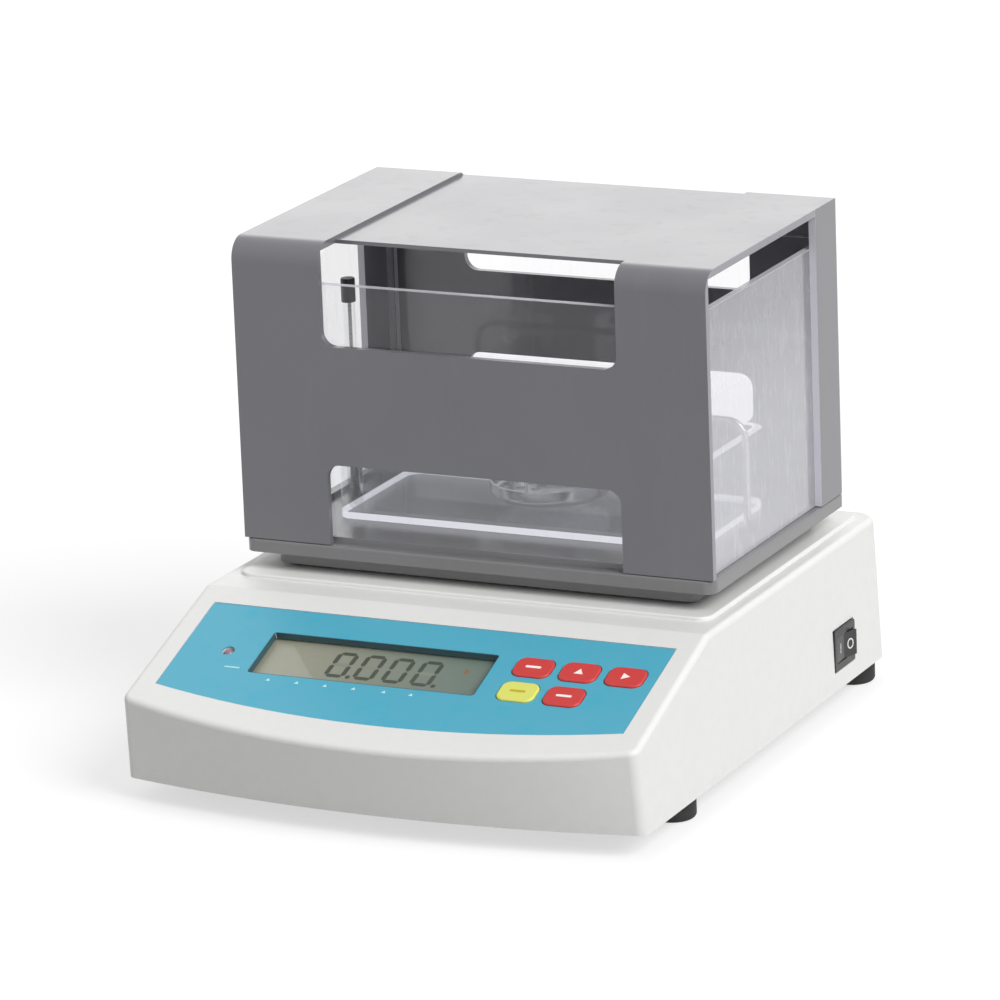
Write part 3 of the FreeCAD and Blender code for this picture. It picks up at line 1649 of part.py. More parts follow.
def make_dish():
    """Shallow sheet dish with a foot ring that fits round the seat."""
    sheet = d.dish_sheet
    low = d.beam_height + d.rod_radius + d.seat_height
    ring = d.seat_radius + d.dish_play
    body = turned("weighing_dish", [
        (ZERO, low),
        (ring, low),
        (ring, low - d.dish_foot),
        (ring + sheet, low - d.dish_foot),
        (ring + sheet, low),
        (d.dish_floor, low),
        (d.dish_radius, low + d.dish_depth),
        (d.dish_radius, low + d.dish_depth + sheet),
        (d.dish_radius - sheet, low + d.dish_depth + sheet),
        (d.dish_floor - sheet, low + sheet),
        (ZERO, low + sheet),
    ])
    return place(body, 0, d.post_back)


def make_bail():
    """Wire bail that hangs over the middle of the rod and carries the basket."""
    body = new_body("basket_bail")
    half = d.basket_radius - d.basket_sheet - d.wire_radius - d.thread_play
    bend = d.bail_bend
    top = d.beam_height + d.rod_radius + d.wire_play + d.wire_radius
    low = d.basket_bottom + d.basket_edge
    y = d.post_back
    path = Outline(body, "YZ_Plane").trail([
        (y - half, low),
        (y - half, top - bend, bend, arc_middle(y - half + bend, top - bend, bend, -1, 1)),
        (y - half + bend, top),
        (y + half - bend, top, bend, arc_middle(y + half - bend, top - bend, bend, 1, 1)),
        (y + half, top - bend),
        (y + half, low),
    ])
    profile = Outline(body, lift=low).circle(ZERO, y - half, d.wire_radius)
    sweep(body, profile, path)
    return body


def make_basket():
    """Turned cup whose floor is pierced by rings of holes."""
    sheet = d.basket_sheet
    low = d.basket_bottom
    soft = d.basket_edge
    outer = d.basket_radius
    body = turned("basket", [
        (ZERO, low),
        (outer - soft, low, soft, arc_middle(outer - soft, low + soft, soft, 1, -1)),
        (outer, low + soft),
        (outer, low + d.basket_depth),
        (outer - sheet, low + d.basket_depth),
        (outer - sheet, low + soft, soft - sheet,
         arc_middle(outer - soft, low + soft, soft - sheet, 1, -1)),
        (outer - soft, low + sheet),
        (ZERO, low + sheet),
    ])
    for ring in range(1, BASKET_RINGS + 1):
        hole = Outline(body, lift=low + sheet).circle(d.basket_ring * ring, ZERO, d.basket_hole)
        first = pocket(body, hole, sheet)
        repeat_round(body, first, BASKET_HOLES * ring)
    return place(body, 0, d.post_back)


def make_frame_group():
    """All that hangs on the load cell's post."""
    pieces = [make_spider(), make_rod_frame(), make_carrier(), make_dish(), make_bail(), make_basket()]
    nut = make_nut("frame_nut", d.frame_nut_across, d.rod_radius + d.thread_play, d.frame_nut_height)
    above = d.post_top + d.arm_thickness
    below = d.post_top - d.frame_nut_height
    seats = [(side, d.post_back, z) for side in (-d.leg_spread, d.leg_spread) for z in (below, above)]
    pieces.append(copies("frame_nuts", nut, seats))
    screw = make_screw("spider_screw", d.post_screw_radius,
                       d.arm_thickness + d.post_screw_bite - d.screw_play,
                       d.post_screw_head, d.spider_screw_head_height)
    pieces.append(copies("spider_screw_set", screw, [(0, d.post_back, above)]))
    return pieces


# ---------------------------------------------------------------- windshield

cover_low = d.tray_top + d.seam_gap
cover_height = d.cover_top - cover_low


def cover_plan(body, inset):
    """Plan of the windshield: square front corners and round rear ones."""
    half = d.cover_half - inset
    front, back = -d.cover_front + inset, d.cover_back - inset
    corner = d.cover_rear_corner - inset
    reach = corner.value * (1 - math.sqrt(0.5))
    side, rear = half.value - reach, back.value - reach
    return Outline(body, lift=cover_low).loop([
        (-half, front),
        (half, front),
        (half, back - corner, corner, Vector(side, rear, 0)),
        (half - corner, back),
        (corner - half, back, corner, Vector(-side, rear, 0)),
        (-half, back - corner),
    ])


def cover_profile(body, inset):
    """The windshield from the side: a wide fold in front and a close one behind."""
    front, back, top = -d.cover_front + inset, d.cover_back - inset, d.cover_top - inset
    fold, rear = d.cover_fold - inset, d.cover_rear_fold - inset
    return Outline(body, "YZ_Plane").loop([
        (front, cover_low),
        (back, cover_low),
        (back, top - rear, rear, arc_middle(back - rear, top - rear, rear, 1, 1)),
        (back - rear, top),
        (front + fold, top, fold, arc_middle(front + fold, top - fold, fold, -1, 1)),
        (front, top - fold),
    ])


def cover_block(label, inset):
    """Outer block of the windshield, or its hollow where inset is the sheet."""
    body = new_body(label)
    pad(body, cover_plan(body, inset), cover_height)
    profile = new_body(label + "_profile")
    pad(profile, cover_profile(profile, inset), d.cover_half * 2, both=True)
    combine(body, [profile], "Common")
    return body


def cut_front(cover):
    """Lower opening, down to the sheet's edge, and upper one, which runs on into the roof."""
    half, corner = d.opening_half, d.opening_corner
    beyond = corner * 2
    depth = d.cover_fold + d.cover_sheet
    notch = Outline(cover, "XZ_Plane", lift=d.cover_front + d.wall)
    notch.rounded(-half, half, cover_low - beyond, d.front_notch, corner)
    pocket(cover, notch, depth)
    window = Outline(cover, "XZ_Plane", lift=d.cover_front + d.wall)
    window.rounded(-half, half, d.upper_opening, d.cover_top + beyond, corner)
    pocket(cover, window, d.roof_cut + d.wall)


def cut_back(cover):
    """The two openings of the rear face."""
    rows = [(d.back_low, d.back_notch), (d.upper_opening, d.cover_top - d.cover_sheet)]
    for low, high in rows:
        outline = Outline(cover, "XZ_Plane", lift=-(d.cover_back + d.wall))
        outline.rounded(-d.opening_half, d.opening_half, low, high, d.opening_corner)
        pocket(cover, outline, d.cover_fold + d.cover_sheet, reverse=True)


def make_cover():
    """Folded sheet cover: open sides, cut-outs in front and behind, and a sunk roof band."""
    cover = cover_block("windshield_cover", ZERO)
    combine(cover, [cover_block("cover_hollow", d.cover_sheet)], "Cut")
    side = Outline(cover, "YZ_Plane")
    side.box(-d.cover_front + d.cover_sheet, d.cover_back - d.cover_wrap,
             cover_low - d.wall, d.cover_top - d.cover_sheet)
    pocket(cover, side, d.cover_half * 2 + d.wall, both=True)
    band = Outline(cover, lift=d.cover_top)
    band.box(-d.opening_half, d.opening_half, -d.cover_front - d.wall, d.cover_back + d.wall)
    pocket(cover, band, d.roof_recess)
    cut_front(cover)
    cut_back(cover)
    return cover


def make_clear_sheets():
    """The four clear sheets that stand inside the windshield."""
    inner_side = d.cover_half - d.cover_sheet
    inner_front = -d.cover_front + d.cover_sheet
    inner_back = d.cover_back - d.cover_sheet
    thick, gap = d.clear_sheet, d.clear_corner_gap
    corner = d.cover_rear_corner - d.cover_sheet
    front_half = inner_side - thick - gap
    back_half = front_half - corner
    places = [
        ("clear_panel_front", -front_half, front_half, inner_front, inner_front + thick),
        ("clear_panel_back", -back_half, back_half, inner_back - thick, inner_back),
        ("clear_panel_left", -inner_side, thick - inner_side, inner_front, inner_back - corner),
        ("clear_panel_right", inner_side - thick, inner_side, inner_front, inner_back - corner),
    ]
    pieces = []
    for label, left, right, front, back in places:
        body = new_body(label)
        pad(body, Outline(body, lift=cover_low).box(left, right, front, back), d.clear_top - cover_low)
        pieces.append(body)
    return pieces


# ---------------------------------------------------------------- whole meter

def check_and_export(pieces):
    """Stop at the first object that failed, then write one file for each piece."""
    DOC.recompute()
    for item in DOC.Objects:
        if "Invalid" in item.State or "Error" in item.State:
            raise ValueError("%s failed" % item.Label)
    os.makedirs("parts", exist_ok=True)
    for piece in pieces:
        if piece.Shape.isNull() or not piece.Shape.isValid():
            raise ValueError("%s has no sound shape" % piece.Label)
        piece.Shape.exportStep("parts/%s.step" % piece.Label)


if __name__ == "__main__":
    everything = [make_housing()]
    everything += make_floor_group()
    everything += make_display_group()
    everything += make_base_inside_group()
    everything += [make_switch_body(), make_rocker()]
    everything += make_tray_group()
    everything += [make_tank(), make_thermometer_glass(), make_thermometer_cap(), make_thermometer_clip()]
    everything += make_frame_group()
    everything += [make_cover()] + make_clear_sheets()
    check_and_export(everything)
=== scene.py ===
"""Benchtop density meter: finishes, printing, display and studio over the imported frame."""

from __future__ import annotations

import json
import logging
import math
from collections.abc import Callable
from dataclasses import dataclass
from enum import Enum
from functools import cache

import bmesh
import bpy
import numpy as np
from mathutils import Matrix, Vector

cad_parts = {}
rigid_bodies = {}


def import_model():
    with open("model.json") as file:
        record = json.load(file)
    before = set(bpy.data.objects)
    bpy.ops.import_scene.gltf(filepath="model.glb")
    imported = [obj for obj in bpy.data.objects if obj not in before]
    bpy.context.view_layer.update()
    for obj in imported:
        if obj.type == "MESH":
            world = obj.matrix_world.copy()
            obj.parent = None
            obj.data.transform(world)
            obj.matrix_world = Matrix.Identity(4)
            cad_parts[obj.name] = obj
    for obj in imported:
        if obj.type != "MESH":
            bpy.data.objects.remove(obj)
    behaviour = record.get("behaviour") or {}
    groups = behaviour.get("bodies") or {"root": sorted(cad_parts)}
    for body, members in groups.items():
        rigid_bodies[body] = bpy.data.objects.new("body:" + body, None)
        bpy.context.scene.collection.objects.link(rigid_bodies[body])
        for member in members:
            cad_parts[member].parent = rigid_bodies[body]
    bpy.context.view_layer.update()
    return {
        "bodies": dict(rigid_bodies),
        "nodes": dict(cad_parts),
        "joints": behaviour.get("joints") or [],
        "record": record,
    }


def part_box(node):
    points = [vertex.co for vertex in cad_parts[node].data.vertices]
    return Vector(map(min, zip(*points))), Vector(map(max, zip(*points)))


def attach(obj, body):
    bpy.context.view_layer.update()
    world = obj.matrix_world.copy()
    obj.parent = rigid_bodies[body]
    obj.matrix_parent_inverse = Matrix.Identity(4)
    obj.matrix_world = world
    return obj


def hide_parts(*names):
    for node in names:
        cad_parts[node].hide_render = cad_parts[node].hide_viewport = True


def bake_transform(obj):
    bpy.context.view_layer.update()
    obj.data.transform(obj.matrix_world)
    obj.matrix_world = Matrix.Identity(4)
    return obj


LOG = logging.getLogger("density_meter")
MM = 0.001

Pair = tuple[float, float]
Triple = tuple[float, float, float]
Box = tuple[float, float, float, float]
Colour = Triple
Shape = tuple[np.ndarray, list]
WHITE: Colour = (1.0, 1.0, 1.0)
EVEN: Triple = (1.0, 1.0, 1.0)


# ---- shader tools

def srgb(red: float, green: float, blue: float) -> Colour:
    """Linear colour of a display colour.

    Args:
        red, green, blue: display levels from 0 to 255.

    Returns:
        The three linear levels, by the sRGB curve.
    """
    levels = np.array([red, green, blue]) / 255.0
    linear = np.where(levels <= 0.04045, levels / 12.92, ((levels + 0.055) / 1.055) ** 2.4)
    return tuple(float(level) for level in linear)


def operator(operation: str, reflected: bool = False) -> Callable[..., Wire]:
    """A method that adds one Math node.

    Args:
        operation: the node's operation.
        reflected: whether the wire itself comes second.

    Returns:
        The method.
    """
    def method(wire: Wire, *others: Wire | float) -> Wire:
        """Feed the wire and the other value, if there is one, to the node."""
        values = (*others, wire) if reflected else (wire, *others)
        return wire.graph.node("Math", {"operation": operation}, dict(enumerate(values)))[0]

    return method


class Wire:
    """A shader value whose arithmetic adds Math nodes to its material."""

    __add__ = __radd__ = operator("ADD")
    __sub__, __rsub__ = operator("SUBTRACT"), operator("SUBTRACT", reflected=True)
    __mul__ = __rmul__ = operator("MULTIPLY")
    __gt__, __lt__ = operator("GREATER_THAN"), operator("LESS_THAN")
    __abs__ = operator("ABSOLUTE")

    def __init__(self, graph: Graph, socket: bpy.types.NodeSocket) -> None:
        """Wrap a socket of a graph."""
        self.graph = graph
        self.socket = socket

    def smooth(self, low: float, high: float) -> Wire:
        """Smooth step from 0 at the low value to 1 at the high one."""
        inputs = {"Value": self, "From Min": low, "From Max": high}
        return self.graph.node("MapRange", {"interpolation_type": "SMOOTHSTEP"}, inputs)[0]


class Outputs:
    """The outputs of one node, by index or name, as wires."""

    def __init__(self, graph: Graph, node: bpy.types.Node) -> None:
        """Keep the node and its graph."""
        self.graph = graph
        self.node = node

    def __getitem__(self, key: int | str) -> Wire:
        """The output at that index or of that name."""
        return Wire(self.graph, self.node.outputs[key])


class Graph:
    """Node tree of one material or world."""

    def __init__(self, tree: bpy.types.NodeTree) -> None:
        """Empty the tree and keep it."""
        self.tree = tree
        tree.nodes.clear()

    def node(self, kind: str, settings: dict, inputs: dict) -> Outputs:
        """Make a node, set it and feed it.

        Args:
            kind: the node's type, without "ShaderNode".
            settings: its properties.
            inputs: socket index or name to a number, colour or wire.

        Returns:
            The node's outputs.
        """
        made = self.tree.nodes.new("ShaderNode" + kind)
        for name, value in settings.items():
            setattr(made, name, value)
        for key, value in inputs.items():
            socket = made.inputs[key]
            if isinstance(value, Wire):
                self.tree.links.new(value.socket, socket)
            elif isinstance(value, tuple) and socket.type == "RGBA":
                socket.default_value = (*value, 1.0)
            else:
                socket.default_value = value
        return Outputs(self, made)

    def place(self) -> Wire:
        """Object coordinates, in metres."""
        return self.node("TexCoord", {}, {})["Object"]

    def axes(self) -> tuple[Wire, Wire, Wire]:
        """The three object coordinates, in metres."""
        parts = self.node("SeparateXYZ", {}, {0: self.place()})
        return parts[0], parts[1], parts[2]

    def rise(self, low_mm: float, high_mm: float) -> Wire:
        """Zero below one height and one above the other."""
        return self.axes()[2].smooth(low_mm * MM, high_mm * MM)

    def blend(self, amount: Wire | float, first: Wire | Colour, second: Wire | Colour) -> Wire:
        """Colour between two colours: the first at 0 and the second at 1."""
        return self.node("Mix", {"data_type": "RGBA"}, {0: amount, 6: first, 7: second})[2]

    def bump(self, height: Wire, relief: Pair) -> Wire:
        """Normal of a height from 0 to 1; the relief is its depth in mm and its strength."""
        depth, strength = relief
        return self.node("Bump", {}, {0: strength, 1: depth * MM, "Height": height})[0]

    def mixed(self, amount: Wire | float, first: Wire, second: Wire) -> Wire:
        """Shader between two shaders: the first at 0 and the second at 1."""
        return self.node("MixShader", {}, {0: amount, 1: first, 2: second})[0]

    def skin(self, colour: Wire, rough: Wire | float, more: dict) -> Wire:
        """Principled shader of a base colour, a roughness and other inputs by name."""
        inputs = {"Base Color": colour, "Roughness": rough, **more}
        return self.node("BsdfPrincipled", {}, inputs)[0]


# ---- finishes

@dataclass(frozen=True)
class Pattern:
    """Noise of one size, or cells where it has no detail, stepped between two levels or raw.

    Levels in falling order turn it over. Its stretch is how much finer it is along each axis.
    """

    size_mm: float
    detail: float = 3.0
    step: Pair | None = (0.3, 0.7)
    stretch: Triple = EVEN

    def on(self, graph: Graph) -> Wire:
        """The pattern in a material.

        Args:
            graph: the material's graph.

        Returns:
            Its value.
        """
        where = graph.place()
        if self.stretch != EVEN:
            where = graph.node("Mapping", {}, {"Vector": where, "Scale": self.stretch})[0]
        inputs = {"Vector": where, "Scale": 1.0 / (self.size_mm * MM)}
        if self.detail:
            raw = graph.node("TexNoise", {}, {**inputs, "Detail": self.detail})["Fac"]
        else:
            raw = graph.node("TexVoronoi", {}, inputs)["Distance"]
        return raw.smooth(*self.step) if self.step else raw


@dataclass(frozen=True)
class Layer:
    """A pattern that shades the colour and the gloss.

    Where the pattern is 1, the colour goes by the share towards the finish's colour times the
    scale plus the lift. The roughness grows by the gloss times the pattern's height over about.
    """

    pattern: Pattern
    scale: float | Triple
    share: float = 1.0
    gloss: float = 0.0
    about: float = 0.0
    lift: float = 0.0


@dataclass(frozen=True)
class Finish:
    """Layers over a colour, with a grain whose relief is its depth in mm and its strength."""

    name: str
    colour: Colour
    roughness: float = 0.5
    layers: tuple[Layer, ...] = (
        Layer(Pattern(9.0, step=(0.65, 0.35)), 0.94, gloss=-0.06, about=0.5),
    )
    grain: Pattern | None = None
    grain_gloss: float = 0.0
    relief: Pair = (0.0, 0.0)
    coat: Pair = (0.0, 0.0)
    metal: float = 0.0

    def build(self) -> bpy.types.Material:
        """Make the material.

        Returns:
            The material.
        """
        material = bpy.data.materials.new(self.name)
        material.use_nodes = True
        graph = Graph(material.node_tree)
        surface = self.surface(graph)
        graph.node("OutputMaterial", {}, {"Surface": surface})
        return material

    def tone(self, scale: float | Triple, lift: float = 0.0) -> Colour:
        """The colour times a scale plus a lift, at most white."""
        return tuple(np.minimum(np.array(self.colour) * scale + lift, 1.0).tolist())

    def surface(self, graph: Graph) -> Wire:
        """The shader: every layer in turn, then the grain and the coat.

        Args:
            graph: the material's graph.

        Returns:
            The shader.
        """
        colour, rough = self.under(graph), self.roughness
        for layer in self.layers:
            mask = layer.pattern.on(graph)
            colour = graph.blend(mask * layer.share, colour, self.tone(layer.scale, layer.lift))
            rough = (mask - layer.about) * layer.gloss + rough
        weight, gloss = self.coat
        more = {"Metallic": self.bare(graph), "Coat Weight": weight, "Coat Roughness": gloss}
        if self.grain:
            height = self.height(graph)
            rough = (height - 0.5) * self.grain_gloss + rough
            more["Normal"] = graph.bump(height, self.relief)
        return graph.skin(self.over(graph, colour), rough, more)

    def under(self, graph: Graph) -> Wire | Colour:
        """The colour under the layers."""
        return self.colour

    def over(self, graph: Graph, colour: Wire) -> Wire:
        """The layered colour with what lies over it, which is nothing on a plain finish."""
        return colour

    def height(self, graph: Graph) -> Wire:
        """The grain's height."""
        return self.grain.on(graph)

    def bare(self, graph: Graph) -> Wire | float:
        """How much of it is bare metal."""
        return self.metal


@dataclass(frozen=True)
class MouldedPlastic(Finish):
    """Moulded plastic with an even spark-eroded grain, flow clouds, dust and a rubbed gloss."""

    layers: tuple[Layer, ...] = (
        Layer(Pattern(38.0, 4.0, (0.68, 0.32)), (1.0, 0.995, 0.98), gloss=-0.07, about=0.5),
        Layer(Pattern(4.5), 0.95, share=0.3, gloss=0.05, about=0.5),
    )
    grain: Pattern = Pattern(0.55, 2.0, None)
    relief: Pair = (0.035, 0.55)
    pit_scale: float = 1.7
    pit_share: float = 0.4
    dust: float = 0.0
    dust_mm: Pair = (8.0, 22.0)
    dust_tone: float = 0.72

    def height(self, graph: Graph) -> Wire:
        """The grain with pits in it."""
        pits = Pattern(self.grain.size_mm * self.pit_scale, 0.0, (0.1, 0.75)).on(graph)
        return self.grain.on(graph) * (1.0 - self.pit_share) + pits * self.pit_share

    def over(self, graph: Graph, colour: Wire) -> Wire:
        """Dust that settles low down, where the plastic is rubbed."""
        settled = (1.0 - graph.rise(*self.dust_mm)) * self.layers[1].pattern.on(graph) * self.dust
        return graph.blend(settled, colour, self.tone(self.dust_tone))


@dataclass(frozen=True)
class PowderCoat(Finish):
    """Powder-coated sheet: clouds, fine sparkle, light rubbing, orange peel, a clear skin."""

    layers: tuple[Layer, ...] = (
        Layer(Pattern(55.0, step=(0.7, 0.3)), 0.9, gloss=-0.08, about=0.5),
        Layer(Pattern(0.45, 0.0, (0.25, 0.0)), 1.14, share=0.35),
        Layer(Pattern(7.0, 5.0, (0.52, 0.75), (1.0, 1.0, 0.25)), 1.14, share=0.25, gloss=0.06),
    )
    grain: Pattern = Pattern(1.3, 3.0, None)
    relief: Pair = (0.03, 0.6)
    coat: Pair = (0.7, 0.16)


@dataclass(frozen=True)
class SheetCoat(PowderCoat):
    """Powder coat on a folded sheet whose cut edges get a painted highlight in paler colours.

    The side edges stand at side_mm, in front of return_mm; there the rear returns begin with
    a cut edge. Both kinds of edge are painted paler as a highlight.
    """

    side_mm: float = 105.5
    return_mm: float = 90.0
    # Painted highlights: the two paler edge colours stand for light caught on the cut edges.
    side_edge_highlight: Colour = (0.22, 0.218, 0.245)
    cut: Colour = (0.62, 0.61, 0.67)
    sheet_mm: float = 3.0
    near_mm: float = 0.06

    def over(self, graph: Graph, colour: Wire) -> Wire:
        """Painted highlights in paler colours on the side edges and the front edges of the rear
        returns.

        Args:
            graph: the material's graph.
            colour: the layered colour.

        Returns:
            The colour with its painted edge highlights.
        """
        across, along, _ = graph.axes()
        out = abs(across)
        before = along < (self.return_mm - self.near_mm) * MM
        sides = (out > (self.side_mm - self.near_mm) * MM) * before
        begins = (along < (self.return_mm + self.near_mm) * MM) * (1.0 - before)
        ends = (out > (self.side_mm - self.sheet_mm - self.near_mm) * MM) * begins
        return graph.blend(ends, graph.blend(sides, colour, self.side_edge_highlight), self.cut)


@dataclass(frozen=True)
class Metal(Finish):
    """Bare metal with lines of brushing or turning along one axis, which streak the gloss."""

    layers: tuple[Layer, ...] = (Layer(Pattern(11.0), 0.82, share=0.6, gloss=0.05),)
    grain: Pattern = Pattern(1.2, 3.0, None, (1.0, 1.0, 12.0))
    grain_gloss: float = 0.16
    relief: Pair = (0.01, 0.5)
    metal: float = 1.0


@dataclass(frozen=True)
class Rubber(Finish):
    """Matt rubber with a coarse grain and pale dust in it."""

    layers: tuple[Layer, ...] = (
        Layer(Pattern(6.0, 4.0, (0.5, 0.8)), 2.6, share=0.5, gloss=0.12, lift=0.02),
    )
    grain: Pattern = Pattern(0.8, 3.0, None)
    relief: Pair = (0.05, 0.7)


@dataclass(frozen=True)
class ClearSheet(Finish):
    """Clear acrylic: a reflecting face, haze that can fade upwards, scuffs and pale cut edges with
    a painted glow.

    The haze is per face, so a sheet shows it twice. Edges are (axis, low, high) in millimetres:
    beyond them the surface is a sawn edge, hazed pale, which may get a painted glow: an emission,
    though the edge is no lamp, and less of both on an underside below under_mm.
    """

    haze: float = 0.1
    haze_top: float | None = None
    face: float = 1.0
    heights_mm: Pair = (120.0, 196.0)
    edges: tuple[tuple[int, float, float], ...] = ()
    edge_haze: float = 0.7
    painted_edge_glow: float = 0.0
    painted_glow_colour: Colour = srgb(244, 244, 252)
    under_mm: float = 0.0
    under_loss: float = 0.65
    scuff: Pattern = Pattern(2.2, 5.0, (0.5, 0.72), (1.0, 1.0, 0.2))
    scuff_least: float = 0.02
    scuff_of_haze: float = 0.15
    milk: Colour = srgb(244, 244, 250)
    milk_behind: float = 0.2
    grain: Pattern = Pattern(60.0, 2.0, None)
    relief: Pair = (0.25, 0.4)
    ior: float = 1.49

    def sawn(self, graph: Graph) -> Wire | float:
        """One on the sawn edges, else zero.

        Args:
            graph: the material's graph.

        Returns:
            The mask.
        """
        axes = graph.axes()
        sawn = 0.0
        for axis, low, high in self.edges:
            beyond = (axes[axis] < low * MM) + (axes[axis] > high * MM)
            sawn = beyond + sawn > 0.5
        if self.under_mm:
            sawn = sawn - (axes[2] < self.under_mm * MM) * self.under_loss
        return sawn

    def veil(self, graph: Graph, sawn: Wire | float) -> Wire:
        """How much of the view the haze, the scuffs and the sawn edges cover.

        Args:
            graph: the material's graph.
            sawn: where the sawn edges are.

        Returns:
            The covered share.
        """
        change = 0.0 if self.haze_top is None else self.haze_top - self.haze
        scuffed = self.scuff.on(graph) * (self.scuff_least + self.haze * self.scuff_of_haze)
        veil = graph.rise(*self.heights_mm) * change + scuffed + self.haze
        return veil + (self.edge_haze - veil) * sawn

    def surface(self, graph: Graph) -> Wire:
        """Straight view through, mixed with a face reflection by angle and with pale haze.

        Args:
            graph: the material's graph.

        Returns:
            The shader.
        """
        through = graph.node("BsdfTransparent", {}, {"Color": self.colour})[0]
        normal = graph.bump(self.height(graph), self.relief)
        face = {"Color": WHITE, "Roughness": self.roughness, "Normal": normal}
        gloss = graph.node("BsdfGlossy", {}, face)[0]
        near = graph.node("BsdfDiffuse", {}, {"Color": self.milk})[0]
        far = graph.node("BsdfTranslucent", {}, {"Color": self.milk})[0]
        milk = graph.mixed(self.milk_behind, near, far)
        sawn = self.sawn(graph)
        # Painted light: the sawn edges glow by an emission, though the acrylic is no lamp.
        if self.painted_edge_glow:
            glow = graph.node("Emission", {}, {"Color": self.painted_glow_colour})[0]
            milk = graph.mixed(sawn * self.painted_edge_glow, milk, glow)
        hazed = graph.mixed(self.veil(graph, sawn), through, milk)
        angle = graph.node("Fresnel", {}, {"IOR": self.ior})[0]
        entering = 1.0 - graph.node("NewGeometry", {}, {})["Backfacing"]
        return graph.mixed(angle * entering * self.face, hazed, gloss)


@dataclass(frozen=True)
class Overlay(Finish):
    """Printed film: fine satin texture, painted shade that greys the ink towards the top, and
    handling marks.
    """

    layers: tuple[Layer, ...] = (
        Layer(Pattern(13.0, 4.0, (0.5, 0.75)), 0.93, share=0.5, gloss=0.1, lift=0.01),
    )
    grain: Pattern = Pattern(0.7, 2.0, None)
    relief: Pair = (0.02, 0.35)
    painted_top_shade: float = 0.0
    heights_mm: Pair = (32.0, 48.0)

    def under(self, graph: Graph) -> Wire:
        """The ink, greyed a little with height as painted shade.

        Args:
            graph: the material's graph.

        Returns:
            Its colour.
        """
        # Painted shade: the ink is blended towards grey up the film's upper strip.
        grey = sum(self.colour) / len(self.colour)
        top = tuple(level + (grey - level) * self.painted_top_shade for level in self.colour)
        return graph.blend(graph.rise(*self.heights_mm), self.colour, top)


@dataclass(frozen=True)
class CircuitBoard(Finish):
    """Solder mask over copper tracks, for which a stretched noise stands, and bare pads."""

    layers: tuple[Layer, ...] = (Layer(Pattern(2.4, 1.0, (0.48, 0.52), (1.0, 0.15, 1.0)), 1.7),)
    grain: Pattern = Pattern(2.4, 1.0, (0.48, 0.52), (1.0, 0.15, 1.0))
    relief: Pair = (0.03, 0.6)
    metal: float = 0.8
    pads: Pattern = Pattern(5.5, 0.0, (0.14, 0.1))
    pad: Colour = srgb(190, 180, 150)

    def over(self, graph: Graph, colour: Wire) -> Wire:
        """The pads on the mask."""
        return graph.blend(self.pads.on(graph), colour, self.pad)

    def bare(self, graph: Graph) -> Wire:
        """The pads alone are metal."""
        return self.pads.on(graph) * self.metal


@dataclass(frozen=True)
class DisplayCell(Finish):
    """Reflective liquid-crystal cell: grey-green, warmer at one end, under a glossy glass."""

    layers: tuple[Layer, ...] = (Layer(Pattern(0.5, 2.0), 0.86, share=0.25, gloss=0.05),)
    coat: Pair = (0.4, 0.05)
    warm: Colour = (0.3, 0.28, 0.22)
    drift_mm: Pair = (-65.0, 40.0)

    def under(self, graph: Graph) -> Wire:
        """The reflector's colour, which drifts along the cell."""
        start, end = self.drift_mm
        return graph.blend(graph.axes()[0].smooth(start * MM, end * MM), self.warm, self.colour)


KEY_GRAIN = Pattern(0.4, 2.0, None)
ACROSS_LINES = Pattern(1.2, 3.0, None, (1.0, 14.0, 1.0))
FACE_EDGES = ((0, -98.0, 98.0), (2, 0.0, 195.7))
SIDE_EDGES = ((1, -21.2, 111.2), (2, 0.0, 195.7))


